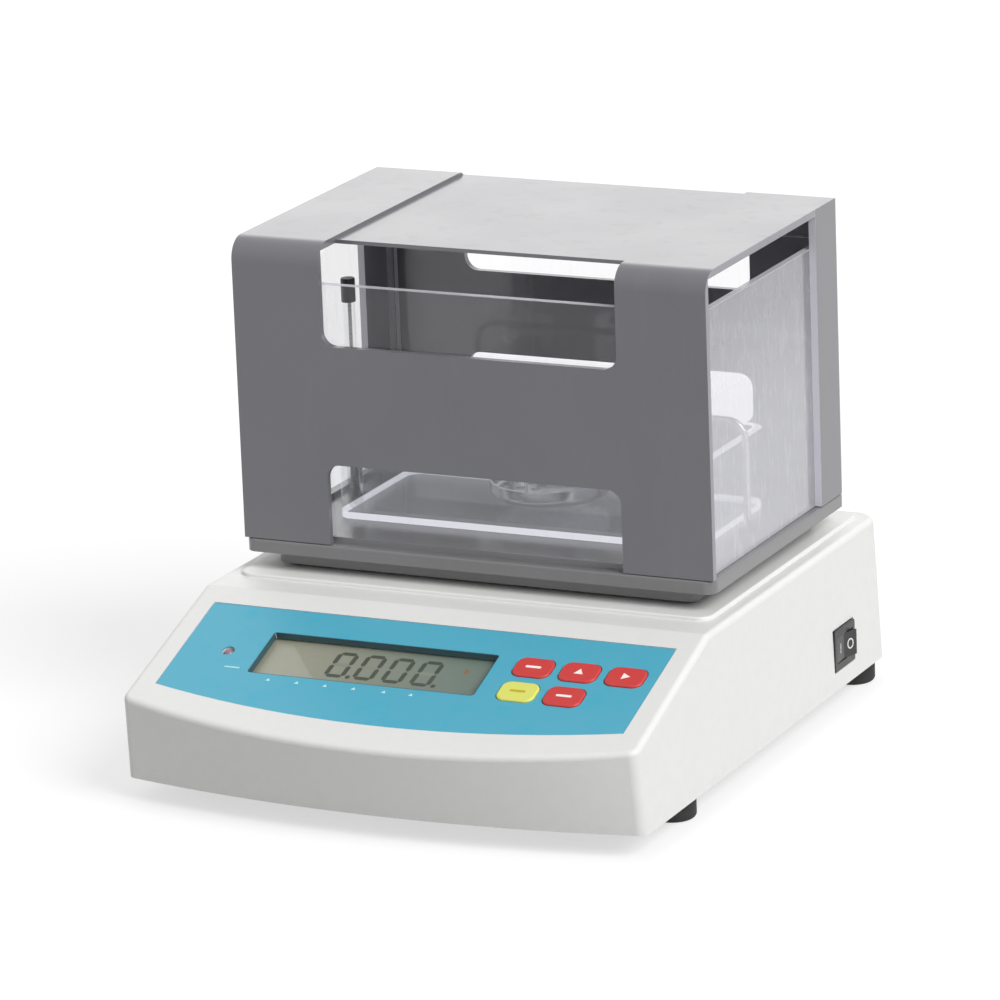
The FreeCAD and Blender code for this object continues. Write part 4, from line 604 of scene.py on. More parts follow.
class Paint(Enum):
    """Every finish of the meter, by the part that it is on."""

    SHELL = MouldedPlastic("shell_plastic", srgb(230, 230, 229), 0.46, dust=0.06)
    FLOOR = MouldedPlastic("floor_plastic", srgb(206, 207, 206), 0.6, dust=0.48)
    OVERLAY = Overlay("overlay_film", srgb(52, 174, 203), 0.36, painted_top_shade=0.14)
    KEY_RED = MouldedPlastic("key_red", srgb(208, 62, 60), 0.42, grain=KEY_GRAIN)
    KEY_YELLOW = MouldedPlastic("key_yellow", srgb(226, 228, 112), 0.42, grain=KEY_GRAIN)
    KEY_INK = Overlay("key_ink", srgb(250, 244, 238), 0.5)
    KEY_SHADE_INK = Overlay("key_shade_ink", srgb(196, 176, 30), 0.5)
    LEGEND_INK = Overlay("legend_ink", srgb(196, 234, 238), 0.5)
    LENS = ClearSheet("display_lens", (0.985, 0.99, 0.985), 0.04, haze=0.015, face=0.7)
    DISPLAY = DisplayCell("display_cell", srgb(108, 127, 117), 0.3, warm=srgb(160, 158, 138))
    SEGMENT = Finish("display_segment", srgb(62, 70, 56), 0.4)
    GHOST = Finish("display_ghost", srgb(136, 140, 126), 0.4)
    # Painted shade: a dark teal laid on the display opening's walls where the recess is in shade.
    OPENING_SHADE = Finish("display_opening_shade", srgb(52, 84, 92), 0.5)
    SEAL_SPOT = Finish("display_spot", srgb(150, 104, 50), 0.5)
    HOLDER = MouldedPlastic("holder_black", srgb(38, 40, 40), 0.5)
    BOARD = CircuitBoard("board_mask", srgb(22, 84, 48), 0.3)
    SWITCH = MouldedPlastic("switch_black", srgb(34, 34, 35), 0.36, grain=Pattern(0.35, 2.0, None))
    ROCKER = MouldedPlastic("rocker_black", srgb(44, 44, 46), 0.3, grain=Pattern(0.3, 2.0, None))
    SWITCH_INK = Overlay("switch_ink", srgb(232, 232, 228), 0.5)
    LAMP = Finish("lamp_lens", srgb(150, 120, 132), 0.22)
    RUBBER = Rubber("foot_rubber", srgb(36, 36, 37), 0.72)
    SCREW = Metal("screw_zinc", srgb(188, 189, 192), 0.34)
    BRASS = Metal("nut_brass", srgb(200, 168, 96), 0.34)
    ALLOY = Metal("cell_alloy", srgb(196, 198, 202), 0.38, grain=ACROSS_LINES)
    BRIGHT = Metal("bright_steel", srgb(214, 214, 216), 0.16)
    TRAY = PowderCoat("tray_coat", srgb(118, 118, 119), 0.44)
    COVER = SheetCoat("cover_coat", srgb(111, 110, 115), 0.38)
    CLEAR_FACE = ClearSheet("clear_acrylic_face", (0.975, 0.975, 0.98), 0.05, haze=0.015,
                            edges=FACE_EDGES)
    CLEAR_LEFT = ClearSheet("clear_acrylic_left", (0.99, 0.99, 0.99), 0.05, haze=0.08,
                            edges=SIDE_EDGES)
    CLEAR_RIGHT = ClearSheet("clear_acrylic_right", (0.985, 0.985, 0.99), 0.05, haze=0.38,
                             haze_top=0.24, edges=SIDE_EDGES)
    TANK = ClearSheet("tank_acrylic", (0.97, 0.975, 0.98), 0.05, haze=0.07,
                      edges=((2, 88.9, 120.7),), edge_haze=0.95, painted_edge_glow=0.85, under_mm=86.02)
    GLASS = ClearSheet("rod_glass", (0.975, 0.98, 0.98), 0.04, haze=0.03)
    CAP = MouldedPlastic("cap_dark", srgb(48, 48, 52), 0.4)
    COLUMN = Finish("column_dark", srgb(60, 30, 34), 0.4)

    @cache
    def material(self) -> bpy.types.Material:
        """The material of this finish, made on first use."""
        return self.value.build()


PAINTED: dict[Paint, tuple[str, ...]] = {
    Paint.SHELL: ("upper_housing", "thermometer_clip"),
    Paint.FLOOR: ("bottom_plate",),
    Paint.OVERLAY: ("membrane_panel",),
    Paint.LENS: ("lcd_lens",),
    Paint.DISPLAY: ("lcd_glass",),
    Paint.HOLDER: ("lcd_holder", "tact_switches"),
    Paint.BOARD: ("display_board", "main_board"),
    Paint.LAMP: ("indicator_lamp",),
    Paint.KEY_RED: ("key_top_left", "key_top_middle", "key_top_right", "key_bottom_right"),
    Paint.KEY_YELLOW: ("key_bottom_left",),
    Paint.SWITCH: ("power_switch_body", "dc_inlet"),
    Paint.ROCKER: ("power_rocker",),
    Paint.RUBBER: ("foot_pad_front_left", "foot_pad_front_right", "foot_pad_rear_left",
                   "foot_pad_rear_right", "tray_pads"),
    Paint.BRASS: ("foot_nuts",),
    Paint.ALLOY: ("load_cell", "cell_spacer", "weigh_post", "weigh_spider", "dish_carrier"),
    Paint.BRIGHT: ("weigh_frame", "basket_bail", "basket", "weighing_dish"),
    Paint.TRAY: ("tray",),
    Paint.TANK: ("water_tank",),
    Paint.GLASS: ("thermometer_glass",),
    Paint.CAP: ("thermometer_cap",),
    Paint.COVER: ("windshield_cover",),
    Paint.CLEAR_FACE: ("clear_panel_front", "clear_panel_back"),
    Paint.CLEAR_LEFT: ("clear_panel_left",),
    Paint.CLEAR_RIGHT: ("clear_panel_right",),
}
NODE_PAINTS = {node: paint for paint, nodes in PAINTED.items() for node in nodes}


def paint_of(node: str) -> Paint:
    """The finish of a frame node; those not listed are small zinc-plated hardware."""
    return NODE_PAINTS.get(node, Paint.SCREW)


# ---- mesh tools

def put(name: str, data: bpy.types.ID) -> bpy.types.Object:
    """Put an object with that data into the scene.

    Args:
        name: the object's name.
        data: its mesh, lamp or camera.

    Returns:
        The object.
    """
    item = bpy.data.objects.new(name, data)
    bpy.context.scene.collection.objects.link(item)
    return item


def make_piece(name: str, shape: Shape, paint: Paint, body: str,
               lay: Callable[[np.ndarray], np.ndarray] = np.asarray) -> None:
    """Put a shape into a piece that rides on a body.

    Args:
        name: the piece's name.
        shape: its points, in metres, and its faces, as lists of point numbers.
        paint: its finish.
        body: the body that it moves with.
        lay: the function that takes the points into the frame.
    """
    points, faces = shape
    mesh = bpy.data.meshes.new(name)
    mesh.from_pydata(lay(points).tolist(), [], faces)
    mesh.update()
    mesh.materials.append(paint.material())
    piece = put(name, mesh)
    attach(piece, body)
    LOG.info("made %s with %d points", name, len(points))


def slabs(outlines: list[np.ndarray], low: float, high: float) -> Shape:
    """Flat slabs with straight walls.

    Each outline is repeated at both heights; one face closes each end, and a strip of quads
    joins point i of the lower outline to point i of the upper one.

    Args:
        outlines: counter-clockwise outlines of (x, y) points.
        low, high: heights of the two faces.

    Returns:
        Points as rows of (x, y, z), and faces.
    """
    points, faces, start = [], [], 0
    for outline in outlines:
        count = len(outline)
        for height in (low, high):
            points.append(np.column_stack([outline, np.full(count, height)]))
        ring = np.arange(count)
        after = (ring + 1) % count
        faces.append((start + ring[::-1]).tolist())
        faces.append((start + count + ring).tolist())
        quads = np.column_stack([ring, after, after + count, ring + count]) + start
        faces.extend(quads.tolist())
        start += count * 2
    return np.vstack(points), faces


def lathe(profile: np.ndarray, steps: int) -> Shape:
    """Solid turned round the upright axis.

    Point (i, j) of the grid is profile point j turned by i steps:
    (r cos a, r sin a, z). The first and last profile points lie on the axis.

    Args:
        profile: rows of (radius, height), from the lower pole to the upper one.
        steps: how many steps make the full turn.

    Returns:
        Points and faces.
    """
    angle = np.linspace(0.0, 2.0 * math.pi, steps, endpoint=False)
    radius, height = profile[1:-1, 0], profile[1:-1, 1]
    grid = np.stack([
        np.outer(np.cos(angle), radius),
        np.outer(np.sin(angle), radius),
        np.broadcast_to(height, (steps, len(height))),
    ], axis=-1)
    rows = len(height)
    points = np.vstack([grid.reshape(-1, 3), [[0, 0, profile[0, 1]], [0, 0, profile[-1, 1]]]])
    index = np.arange(steps * rows).reshape(steps, rows)
    turned = np.roll(index, -1, axis=0)
    quads = np.stack([index[:, :-1], turned[:, :-1], turned[:, 1:], index[:, 1:]], axis=-1)
    faces = quads.reshape(-1, 4).tolist()
    south, north = steps * rows, steps * rows + 1
    faces += np.column_stack([turned[:, 0], index[:, 0], np.full(steps, south)]).tolist()
    faces += np.column_stack([index[:, -1], turned[:, -1], np.full(steps, north)]).tolist()
    return points, faces


def round_outline(half_x: float, half_y: float, radius: float, steps: int = 6) -> np.ndarray:
    """Rectangle with round corners, counter-clockwise.

    Each corner is a quarter circle of the radius about a centre that lies the radius inside.

    Args:
        half_x, half_y: half sizes.
        radius: corner radius.
        steps: points of each corner.

    Returns:
        Rows of (x, y).
    """
    quarter = np.linspace(0.0, math.pi / 2.0, steps)
    corners = []
    for turn, (side_x, side_y) in enumerate([(1, 1), (-1, 1), (-1, -1), (1, -1)]):
        angle = quarter + turn * math.pi / 2.0
        centre = np.array([side_x * (half_x - radius), side_y * (half_y - radius)])
        corners.append(centre + radius * np.column_stack([np.cos(angle), np.sin(angle)]))
    return np.vstack(corners)


def joint_of(frame: dict, name: str) -> dict:
    """The facts of one joint of the frame."""
    return next(joint for joint in frame["joints"] if joint["name"] == name)


def box_of(node: str) -> tuple[np.ndarray, np.ndarray]:
    """Lowest and highest corner of a frame node, as arrays."""
    low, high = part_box(node)
    return np.array(low), np.array(high)


# ---- keypad slope

@dataclass(frozen=True)
class Slope:
    """The keypad slope's own frame: x across, up along the slope, out away from it."""

    origin: np.ndarray
    up: np.ndarray
    out: np.ndarray

    @staticmethod
    def from_frame(frame: dict, film: float = 0.6 * MM, upper_edge: float = 66.05 * MM) -> Slope:
        """Find the slope from a key's travel and the overlay's box.

        Args:
            frame: the loaded frame.
            film: the overlay's thickness.
            upper_edge: how far up the slope the overlay ends.

        Returns:
            The slope, with its origin at its lower edge, level with the overlay's face.
        """
        press = joint_of(frame, "press_top_left")
        inward = np.array(press["axis"], dtype=float)
        out = -inward / np.linalg.norm(inward)
        up = np.array([0.0, out[2], -out[1]])
        low, high = box_of("membrane_panel")
        edge = np.array([(low[0] + high[0]) / 2.0, high[1] + out[1] * film, high[2]])
        return Slope(edge - up * upper_edge, up, out)

    def lay(self, points: np.ndarray) -> np.ndarray:
        """Points of (across, up, out) as points of the frame: origin + x X + y up + z out."""
        return self.origin + points @ np.array([[1.0, 0.0, 0.0], self.up, self.out])


@dataclass
class Display:
    """The reading on the liquid-crystal cell: lit and unlit bars of slanted noughts.

    A point's stop gives its half width, half height and corner, in bars.
    """

    slope: Slope
    places: int = 4
    lit: str = "abcdef"
    digit_height: float = 16.8 * MM
    digit_width: float = 9.4 * MM
    pitch: float = 12.7 * MM
    bar: float = 2.0 * MM
    gap: float = 0.16 * MM
    slant: float = 0.05
    stop: Triple = (0.5, 0.55, 0.4)
    first: float = -38.4 * MM
    low: float = 30.0 * MM
    window: Box = (-69.4 * MM, 33.7 * MM, 22.0 * MM, 51.8 * MM)
    window_corner: float = 1.2 * MM
    cell_face: float = -3.8 * MM
    film: float = 0.2 * MM
    ink: float = 0.03 * MM
    spot_at: Pair = (20.7 * MM, 42.2 * MM)
    spot_half: Pair = (0.9 * MM, 1.6 * MM)
    spot_corner: float = 0.8 * MM
    opening: Box = (-68.38 * MM, 32.68 * MM, 23.02 * MM, 50.78 * MM)
    # Painted shade on the opening's walls: its thickness and its depth range.
    opening_shade_wall: float = 0.35 * MM
    opening_shade_depth: Pair = (-2.76 * MM, -0.08 * MM)

    def bar_outline(self, name: str) -> np.ndarray:
        """One bar of a digit as a slanted hexagon.

        A level bar runs between its two ends with mitred tips; an upright bar is the same with
        its axes swapped. Each point is then moved across by the slant times its height.

        Args:
            name: the bar's letter, a to g.

        Returns:
            Rows of (x, y) about the digit's lower left corner.
        """
        width, height, half = self.digit_width, self.digit_height, self.bar / 2.0
        middle = height / 2.0
        spots = {
            "a": (half, height - half, True), "d": (half, half, True), "g": (half, middle, True),
            "b": (width - half, middle, False), "c": (width - half, half, False),
            "f": (half, middle, False), "e": (half, half, False),
        }
        x, y, level = spots[name]
        near, far = self.gap, (width - self.bar if level else middle - half) - self.gap
        shape = np.array([
            [near, 0.0], [near + half, -half], [far - half, -half],
            [far, 0.0], [far - half, half], [near + half, half],
        ])
        outline = shape + [x, y] if level else shape[::-1, ::-1] + [x, y]
        outline[:, 0] += outline[:, 1] * self.slant
        return outline

    def bars(self, lit: bool) -> list[np.ndarray]:
        """Every lit or unlit bar of the reading.

        Args:
            lit: whether to give the lit bars.

        Returns:
            Outlines about the reading's lower left corner.
        """
        letters = [letter for letter in "abcdefg" if (letter in self.lit) == lit]
        return [self.bar_outline(letter) + [place * self.pitch, 0.0]
                for place in range(self.places) for letter in letters]

    def opening_shade_strips(self) -> list[np.ndarray]:
        """The four strips of painted shade: dark sheets round the inside walls of the opening.

        Returns:
            Outlines on the slope.
        """
        left, right, low, high = self.opening
        wall = self.opening_shade_wall
        boxes = [
            (left, left + wall, low, high),
            (right - wall, right, low, high),
            (left + wall, right - wall, low, low + wall),
            (left + wall, right - wall, high - wall, high),
        ]
        return [np.array([[a, c], [b, c], [b, e], [a, e]]) for a, b, c, e in boxes]

    def stops(self) -> list[np.ndarray]:
        """The decimal point after the first digit and the steady mark after the last one.

        Returns:
            Outlines about the reading's lower left corner.
        """
        half_x, half_y, corner = (share * self.bar for share in self.stop)
        spot = round_outline(half_x, half_y, corner, 4)
        after = (self.digit_width + self.pitch) / 2.0
        return [spot + [after + place * self.pitch, half_x] for place in (0, self.places - 1)]

    def build(self) -> None:
        """Lay the reflector film, the bars, the spot and the painted shade of the opening's walls
        on the cell.
        """
        left, right, low, high = self.window
        middle = np.array([(left + right) / 2.0, (low + high) / 2.0])
        half_x, half_y = (right - left) / 2.0, (high - low) / 2.0
        sheet = round_outline(half_x, half_y, self.window_corner) + middle
        top = self.cell_face + self.film
        base = np.array([self.first, self.low])
        spot = round_outline(*self.spot_half, self.spot_corner) + self.spot_at
        lit = [shape + base for shape in self.bars(True) + self.stops()]
        unlit = [shape + base for shape in self.bars(False)]
        under, over = top - self.ink, top + self.ink
        layers = [
            ("display_film", [sheet], Paint.DISPLAY, self.cell_face, top),
            ("display_digits", lit, Paint.SEGMENT, under, over),
            ("display_unlit_bars", unlit, Paint.GHOST, under, top + self.ink / 2.0),
            ("display_spot", [spot], Paint.SEAL_SPOT, under, over),
            ("display_opening_shade", self.opening_shade_strips(), Paint.OPENING_SHADE, *self.opening_shade_depth),
        ]
        for name, shapes, paint, lower, upper in layers:
            shape = slabs(shapes, lower, upper)
            make_piece(name, shape, paint, "base", self.slope.lay)


@dataclass
class Printing:
    """Legends printed on the overlay and the marks on the keys.

    A dash is (half width, half height, corner) and a pointer (half width, foot, tip).
    """

    slope: Slope
    ink: float = 0.03 * MM
    key_face: float = 0.7 * MM
    legend_row: float = 19.6 * MM
    legend_spots: tuple[float, ...] = (-57.0, -44.1, -31.4, -18.7, -5.2, 6.8)
    legend: Triple = (1.0 * MM, -0.8 * MM, 0.9 * MM)
    lamp_dash: Triple = (3.4 * MM, 0.35 * MM, 0.3 * MM)
    lamp_dash_at: Pair = (-76.0 * MM, 25.2 * MM)
    key_dash: Triple = (3.4 * MM, 0.7 * MM, 0.6 * MM)
    key_arrow: Triple = (2.0 * MM, -1.5 * MM, 1.9 * MM)
    key_rows: Pair = (28.3 * MM, 44.6 * MM)
    key_columns: Triple = (50.0 * MM, 70.1 * MM, 90.2 * MM)

    @staticmethod
    def pointer(half: float, foot: float, tip: float) -> np.ndarray:
        """Triangle that points up, counter-clockwise from its left foot."""
        return np.array([[-half, foot], [half, foot], [0.0, tip]])

    def legends(self) -> list[np.ndarray]:
        """Small pointers under the display and a dash under the lamp."""
        tips = [self.pointer(*self.legend) + [x * MM, self.legend_row] for x in self.legend_spots]
        return [*tips, round_outline(*self.lamp_dash) + self.lamp_dash_at]

    def key_marks(self) -> list[tuple[str, str, np.ndarray, Paint, str]]:
        """The mark of each key.

        Returns:
            Rows of piece name, body, outline, finish and record slot.
        """
        dash, up = round_outline(*self.key_dash), self.pointer(*self.key_arrow)
        side = up[:, ::-1] * [1.0, -1.0]
        (low, high), (first, second, third) = self.key_rows, self.key_columns
        red, yellow = (Paint.KEY_INK, "key_red"), (Paint.KEY_SHADE_INK, "key_yellow")
        return [
            ("mark_top_left", "button_top_left", dash + [first, high], *red),
            ("mark_top_middle", "button_top_middle", up + [second, high], *red),
            ("mark_top_right", "button_top_right", side + [third, high], *red),
            ("mark_bottom_left", "button_bottom_left", dash + [first, low], *yellow),
            ("mark_bottom_right", "button_bottom_right", dash + [second, low], *red),
        ]

    def build(self) -> None:
        """Lay every mark on its face."""
        legends = slabs(self.legends(), -self.ink, self.ink)
        make_piece("panel_legends", legends, Paint.LEGEND_INK, "base",
                   self.slope.lay)
        for name, body, outline, paint, slot in self.key_marks():
            mark = slabs([outline], self.key_face - self.ink, self.key_face + self.ink)
            make_piece(name, mark, paint, body, self.slope.lay)


@dataclass
class RockerMarks:
    """The line and the ring on the two halves of the rocker."""

    pivot: Triple
    tilt: float = math.radians(-8.0)
    middle: float = 2.1 * MM
    end: float = 3.5 * MM
    half: float = 8.0 * MM
    ink: float = 0.04 * MM
    line: Triple = (0.32 * MM, 2.2 * MM, 0.3 * MM)
    ring_outer: Pair = (2.0 * MM, 2.3 * MM)
    ring_inner: Pair = (1.4 * MM, 1.7 * MM)
    ring_steps: int = 20

    def on_face(self, points: np.ndarray, side: int) -> np.ndarray:
        """Put points of (along, up, out) on one half of the rocker.

        The half runs from (middle, 0) to (end, side times half) in the rocker's own plan. A point
        is the half's centre plus along times its direction plus out times its normal, turned by
        the rocker's tilt and moved to the pivot.

        Args:
            points: rows of (along, up, out).
            side: 1 for the rear half and -1 for the front half.

        Returns:
            Points of the frame.
        """
        run = np.array([self.end - self.middle, side * self.half])
        along = run / np.linalg.norm(run)
        normal = np.array([along[1], -along[0]]) * side
        centre = np.array([(self.middle + self.end) / 2.0, side * self.half / 2.0])
        flat = centre + np.outer(points[:, 0], along) + np.outer(points[:, 2], normal)
        turn = np.array([[math.cos(self.tilt), -math.sin(self.tilt)],
                         [math.sin(self.tilt), math.cos(self.tilt)]])
        return np.column_stack([flat @ turn.T, points[:, 1]]) + np.array(self.pivot)

    def build(self) -> None:
        """A line on the front half, a ring made of short straight parts on the rear half."""
        angle = np.linspace(0.0, 2.0 * math.pi, self.ring_steps + 1)
        rim = np.column_stack([np.cos(angle), np.sin(angle)])
        wide, narrow = rim * self.ring_outer, rim * self.ring_inner
        ring = [np.array([narrow[i], wide[i], wide[i + 1], narrow[i + 1]])
                for i in range(self.ring_steps)]
        line = [round_outline(*self.line)]
        for name, shapes, side in (("rocker_line", line, -1), ("rocker_ring", ring, 1)):
            points, faces = slabs(shapes, -self.ink, self.ink)
            if side < 0:
                faces = [face[::-1] for face in faces]
            shape = self.on_face(points, side), faces
            make_piece(name, shape, Paint.SWITCH_INK, "rocker")


@dataclass
class ThermometerInside:
    """The dark column and the graduated card inside the thermometer's glass."""

    clear_ends: Pair = (3.0 * MM, 4.0 * MM)
    column: float = 0.35 * MM
    column_steps: int = 16
    bulb_of_column: float = 3.0
    reading: float = 0.45
    card_half: float = 0.8 * MM
    card_corner: float = 0.4 * MM
    card: float = 0.15 * MM
    tick: float = 0.16 * MM
    tick_faces: Pair = (-0.02 * MM, 0.03 * MM)
    tick_reach: Pair = (0.3 * MM, 0.55 * MM)
    step: float = 2.0 * MM
    long_every: int = 5

    def column_profile(self, bottom: float, length: float) -> np.ndarray:
        """Rows of (radius, height): a round-bottomed bulb, its shoulder, and the thin column.

        Args:
            bottom: height of the bulb's lower pole.
            length: how far the glass is clear above that.

        Returns:
            The profile, from the lower pole to the upper one.
        """
        bulb, top = self.column * self.bulb_of_column, bottom + length * self.reading
        return np.array([
            [0.0, bottom], [bulb * 0.7, bottom + bulb * 0.3], [bulb, bottom + bulb],
            [bulb, bottom + bulb * 4.0], [self.column, bottom + bulb * 5.5],
            [self.column, top], [0.0, top],
        ])

    def tick_marks(self, length: float) -> list[np.ndarray]:
        """Level ticks along a card of that length, with a longer one at each fifth step.

        Args:
            length: the card's length.

        Returns:
            Outlines about the card's middle.
        """
        marks = []
        for index in range(int(length / self.step) - 1):
            reach = self.tick_reach[0 if index % self.long_every else 1]
            rise = (index + 1) * self.step - length / 2.0
            marks.append(round_outline(reach, self.tick / 2.0, self.tick / 4.0, 2) + [0.0, rise])
        return marks

    def build(self) -> None:
        """Turn the column, cut the card and its ticks, and put them in the glass."""
        low, high = box_of("thermometer_glass")
        x, y = (low[:2] + high[:2]) / 2.0
        bottom, top = low[2] + self.clear_ends[0], high[2] - self.clear_ends[1]
        points, faces = lathe(self.column_profile(bottom, top - bottom), self.column_steps)
        column = points + [x, y, 0.0], faces
        make_piece("thermometer_column", column, Paint.COLUMN, "thermometer")
        length = top - bottom - self.column * self.bulb_of_column * 8.0
        card = round_outline(self.card_half, length / 2.0, self.card_corner)
        middle = top - length / 2.0
        behind = y + self.column + self.card * 2.0
        for name, shapes, paint, near, far in (
            ("thermometer_card", [card], Paint.SHELL, -self.card, 0.0),
            ("thermometer_ticks", self.tick_marks(length), Paint.HOLDER, *self.tick_faces),
        ):
            points, faces = slabs(shapes, near, far)
            across, up, out = points.T
            upright = np.column_stack([across + x, behind - out, up + middle])
            make_piece(name, (upright, faces), paint, "thermometer")


# ---- stand-ins

@dataclass(frozen=True)
class StandIn:
    """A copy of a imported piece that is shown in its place."""

    node: str
    name: str
    body: str
    slot: str
    near: float = 0.0001 * MM
    crease: float = math.radians(30.0)

    def merge(self, mesh: bpy.types.Mesh) -> None:
        """Join the loose triangles into one closed skin, creased where it turns sharply.

        Args:
            mesh: the copied mesh.
        """
        shape = bmesh.new()
        shape.from_mesh(mesh)
        bmesh.ops.remove_doubles(shape, verts=shape.verts, dist=self.near)
        shape.to_mesh(mesh)
        shape.free()
        if mesh.has_custom_normals:
            mesh.attributes.remove(mesh.attributes["custom_normal"])
        mesh.set_sharp_from_angle(angle=self.crease)

    def show(self, frame: dict) -> bpy.types.Object:
        """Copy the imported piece's mesh, merge and dress it, and hide the piece.

        Args:
            frame: the loaded frame.

        Returns:
            The copy, which rides on nothing yet.
        """
        mesh = frame["nodes"][self.node].data.copy()
        mesh.name = self.name
        self.merge(mesh)
        mesh.materials.clear()
        mesh.materials.append(paint_of(self.node).material())
        piece = put(self.name, mesh)
        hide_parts(self.node)
        LOG.info("%s stands for %s", self.name, self.node)
        return piece


@dataclass(frozen=True)
class DrawnIn(StandIn):
    """A clear piece drawn in by a hair, so that its faces clear the metal that it rests on."""

    hair: float = 0.05 * MM

    def build(self, frame: dict) -> None:
        """Shrink the copy about its middle.

        Each coordinate's distance from the middle is multiplied by (half - hair) / half, where
        half is half the piece's size along that axis.

        Args:
            frame: the loaded frame.
        """
        piece = self.show(frame)
        flat = np.empty(len(piece.data.vertices) * 3)
        piece.data.vertices.foreach_get("co", flat)
        points = flat.reshape(-1, 3)
        low, high = points.min(axis=0), points.max(axis=0)
        middle, half = (low + high) / 2.0, (high - low) / 2.0
        points = middle + (points - middle) * (half - self.hair) / half
        piece.data.vertices.foreach_set("co", points.ravel())
        piece.data.update()
        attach(piece, self.body)


@dataclass(frozen=True)
class BentCell(StandIn):
    """The load cell, cut across the part where it bends."""

    bend: Pair = (-6.0 * MM, 30.0 * MM)
    cuts: int = 9
    on_plane: float = 0.001 * MM

    def build(self, frame: dict) -> None:
        """Cut the copy across where it bends and bake its place into its points.

        Args:
            frame: the loaded frame.
        """
        piece = self.show(frame)
        shape = bmesh.new()
        shape.from_mesh(piece.data)
        for along in np.linspace(*self.bend, self.cuts):
            geometry = list(shape.verts) + list(shape.edges) + list(shape.faces)
            bmesh.ops.bisect_plane(shape, geom=geometry, dist=self.on_plane,
                                   plane_co=(0.0, float(along), 0.0), plane_no=(0.0, 1.0, 0.0))
        shape.to_mesh(piece.data)
        shape.free()
        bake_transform(piece)


STAND_INS: tuple[StandIn, ...] = (
    *(DrawnIn(f"clear_panel_{side}", f"clear_sheet_{side}", "cover", "clear")
      for side in ("front", "back", "left", "right")),
    DrawnIn("water_tank", "clear_tank", "base", "clear"),
    BentCell("load_cell", "bending_cell", "weigher", "cell_alloy"),
)


# ---- dressing and studio

class Meter:
    """The whole meter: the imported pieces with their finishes, and what is printed on them."""

    def __init__(self, frame: dict) -> None:
        """Keep the frame."""
        self.frame = frame

    def dress(self) -> None:
        """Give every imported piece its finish."""
        for name, item in self.frame["nodes"].items():
            paint = paint_of(name)
            item.data.materials.clear()
            item.data.materials.append(paint.material())
            LOG.info("dressed %s in %s", name, paint.value.name)

    def build(self) -> None:
        """Dress the pieces, show the stand-ins, and add the printing and what lies inside."""
        self.dress()
        for stand_in in STAND_INS:
            stand_in.build(self.frame)
        slope = Slope.from_frame(self.frame)
        Display(slope).build()
        Printing(slope).build()
        RockerMarks(tuple(joint_of(self.frame, "rocker_pivot")["pos_m"])).build()
        ThermometerInside().build()


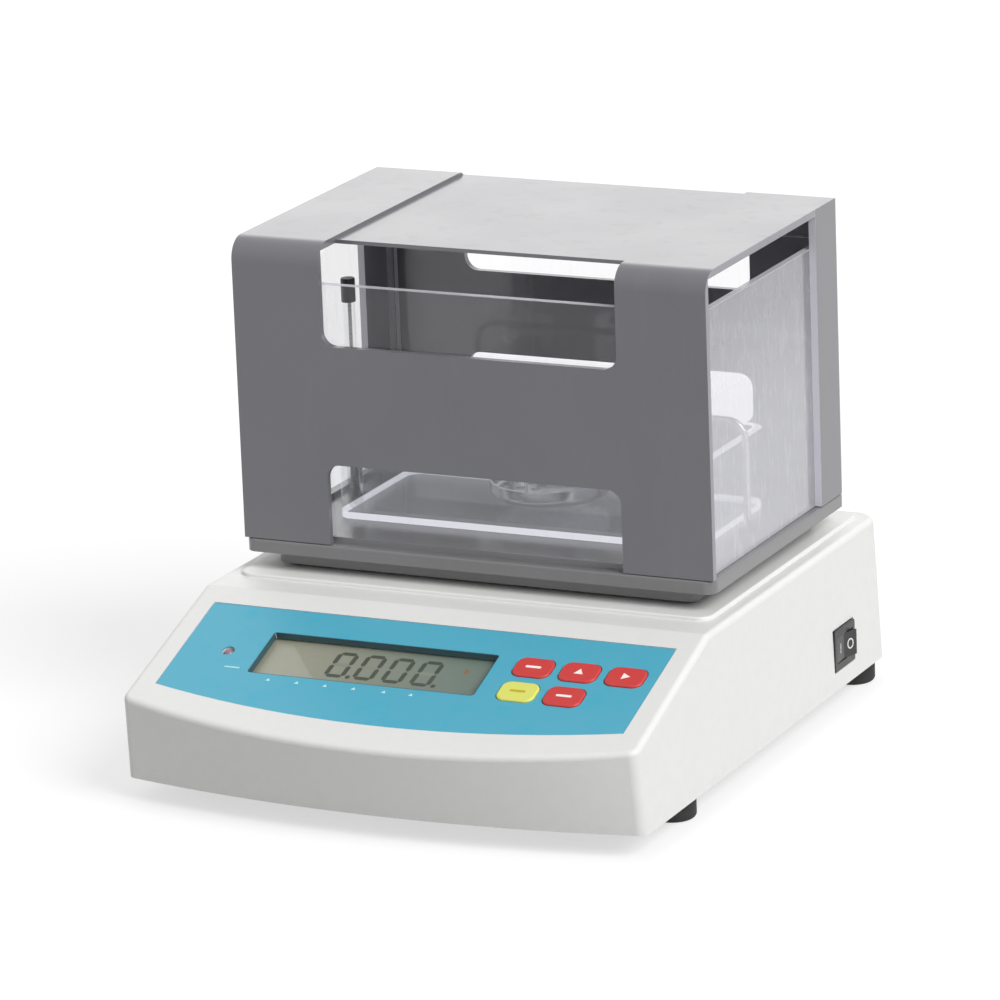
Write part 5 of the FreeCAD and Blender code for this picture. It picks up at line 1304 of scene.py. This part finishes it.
@dataclass(frozen=True)
class Studio:
    """Pale floor, white surroundings, soft sun and the camera."""

    target: Triple = (-6.467 * MM, 14.332 * MM, 100.0 * MM)
    azimuth: float = 25.654
    elevation: float = 15.77
    roll: float = -2.192
    distance: float = 2.612
    lens: float = 228.08
    sensor: float = 36.0
    far_end: float = 50.0
    fill: float = 0.5
    sun: float = 2.36
    sun_spread: float = 36.0
    sun_from: Triple = (0.72, -0.25, 0.64)
    floor_half: float = 4.0
    floor_tone: float = 0.42
    floor_seen: float = 1.03
    box_at: Triple = (-0.61, 1.32, 0.72)
    box_aim: Triple = (0.0, 0.05, 0.2)
    box_size: Pair = (1.8, 0.9)
    box_level: float = 0.68

    def seen(self, graph: Graph) -> Wire:
        """One for rays that show the background: straight, reflected or let through.

        Args:
            graph: the graph of the world or of the floor.

        Returns:
            The mask.
        """
        path = graph.node("LightPath", {}, {})
        either = path["Is Camera Ray"] + path["Is Glossy Ray"] + path["Is Transmission Ray"]
        return either > 0.5

    def light_world(self) -> None:
        """Even fill on the object, and plain white behind it."""
        world = bpy.data.worlds.new("studio_world")
        bpy.context.scene.world = world
        world.use_nodes = True
        graph = Graph(world.node_tree)
        strength = self.seen(graph) * (1.0 - self.fill) + self.fill
        inputs = {"Color": WHITE, "Strength": strength}
        sky = graph.node("Background", {}, inputs)[0]
        graph.node("OutputWorld", {}, {"Surface": sky})

    def lay_floor(self) -> None:
        """A pale floor that shows white and keeps a soft shadow."""
        half = self.floor_half
        mesh = bpy.data.meshes.new("studio_floor")
        corners = [(-half, -half, 0.0), (half, -half, 0.0), (half, half, 0.0), (-half, half, 0.0)]
        mesh.from_pydata(corners, [], [[0, 1, 2, 3]])
        material = bpy.data.materials.new("studio_floor")
        material.use_nodes = True
        graph = Graph(material.node_tree)
        matt = graph.node("BsdfDiffuse", {}, {"Color": (self.floor_tone,) * 3})[0]
        missing = self.floor_seen - self.floor_tone
        glow = graph.node("Emission", {}, {"Strength": self.seen(graph) * missing})[0]
        both = graph.node("AddShader", {}, {0: matt, 1: glow})[0]
        graph.node("OutputMaterial", {}, {"Surface": both})
        mesh.materials.append(material)
        floor = put("studio_floor", mesh)

    def hang_sun(self) -> None:
        """One wide sun from the right and above."""
        light = bpy.data.lights.new("studio_sun", "SUN")
        light.energy = self.sun
        light.angle = math.radians(self.sun_spread)
        lamp = put("studio_sun", light)
        lamp.rotation_euler = Vector(self.sun_from).to_track_quat("Z", "Y").to_euler()

    def hang_softbox(self) -> None:
        """A wide softbox behind, which lies in the roof's reflection.

        Its power is the level times pi times its area, as a flat lamp's level is its power
        over both.
        """
        light = bpy.data.lights.new("studio_softbox", "AREA")
        light.shape = "RECTANGLE"
        light.size, light.size_y = self.box_size
        light.energy = self.box_level * math.pi * light.size * light.size_y
        lamp = put("studio_softbox", light)
        at = Vector(self.box_at)
        lamp.location = at
        lamp.rotation_euler = (at - Vector(self.box_aim)).to_track_quat("Z", "Y").to_euler()
        lamp.visible_camera = False

    def set_camera(self) -> None:
        """Turn the camera by its roll, elevation and azimuth, in that order, about the target."""
        turns = ((self.azimuth, "Z"), (90.0 - self.elevation, "X"), (self.roll, "Z"))
        data = bpy.data.cameras.new("studio_camera")
        data.lens = self.lens
        data.sensor_width = self.sensor
        data.sensor_fit = "HORIZONTAL"
        data.clip_end = self.far_end
        camera = put("studio_camera", data)
        pose = Matrix.Translation(self.target)
        for angle, axis in turns:
            pose = pose @ Matrix.Rotation(math.radians(angle), 4, axis)
        camera.matrix_world = pose @ Matrix.Translation((0.0, 0.0, self.distance))
        bpy.context.scene.camera = camera

    def build(self) -> None:
        """Set up the whole studio."""
        bpy.context.scene.view_settings.view_transform = "Standard"
        self.light_world()
        self.lay_floor()
        self.hang_sun()
        self.hang_softbox()
        self.set_camera()


def main() -> None:
    """Load the frame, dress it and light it."""
    logging.basicConfig(level=logging.INFO, format="%(name)s: %(message)s")
    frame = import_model()
    Meter(frame).build()
    Studio().build()


if __name__ == "__main__":
    main()
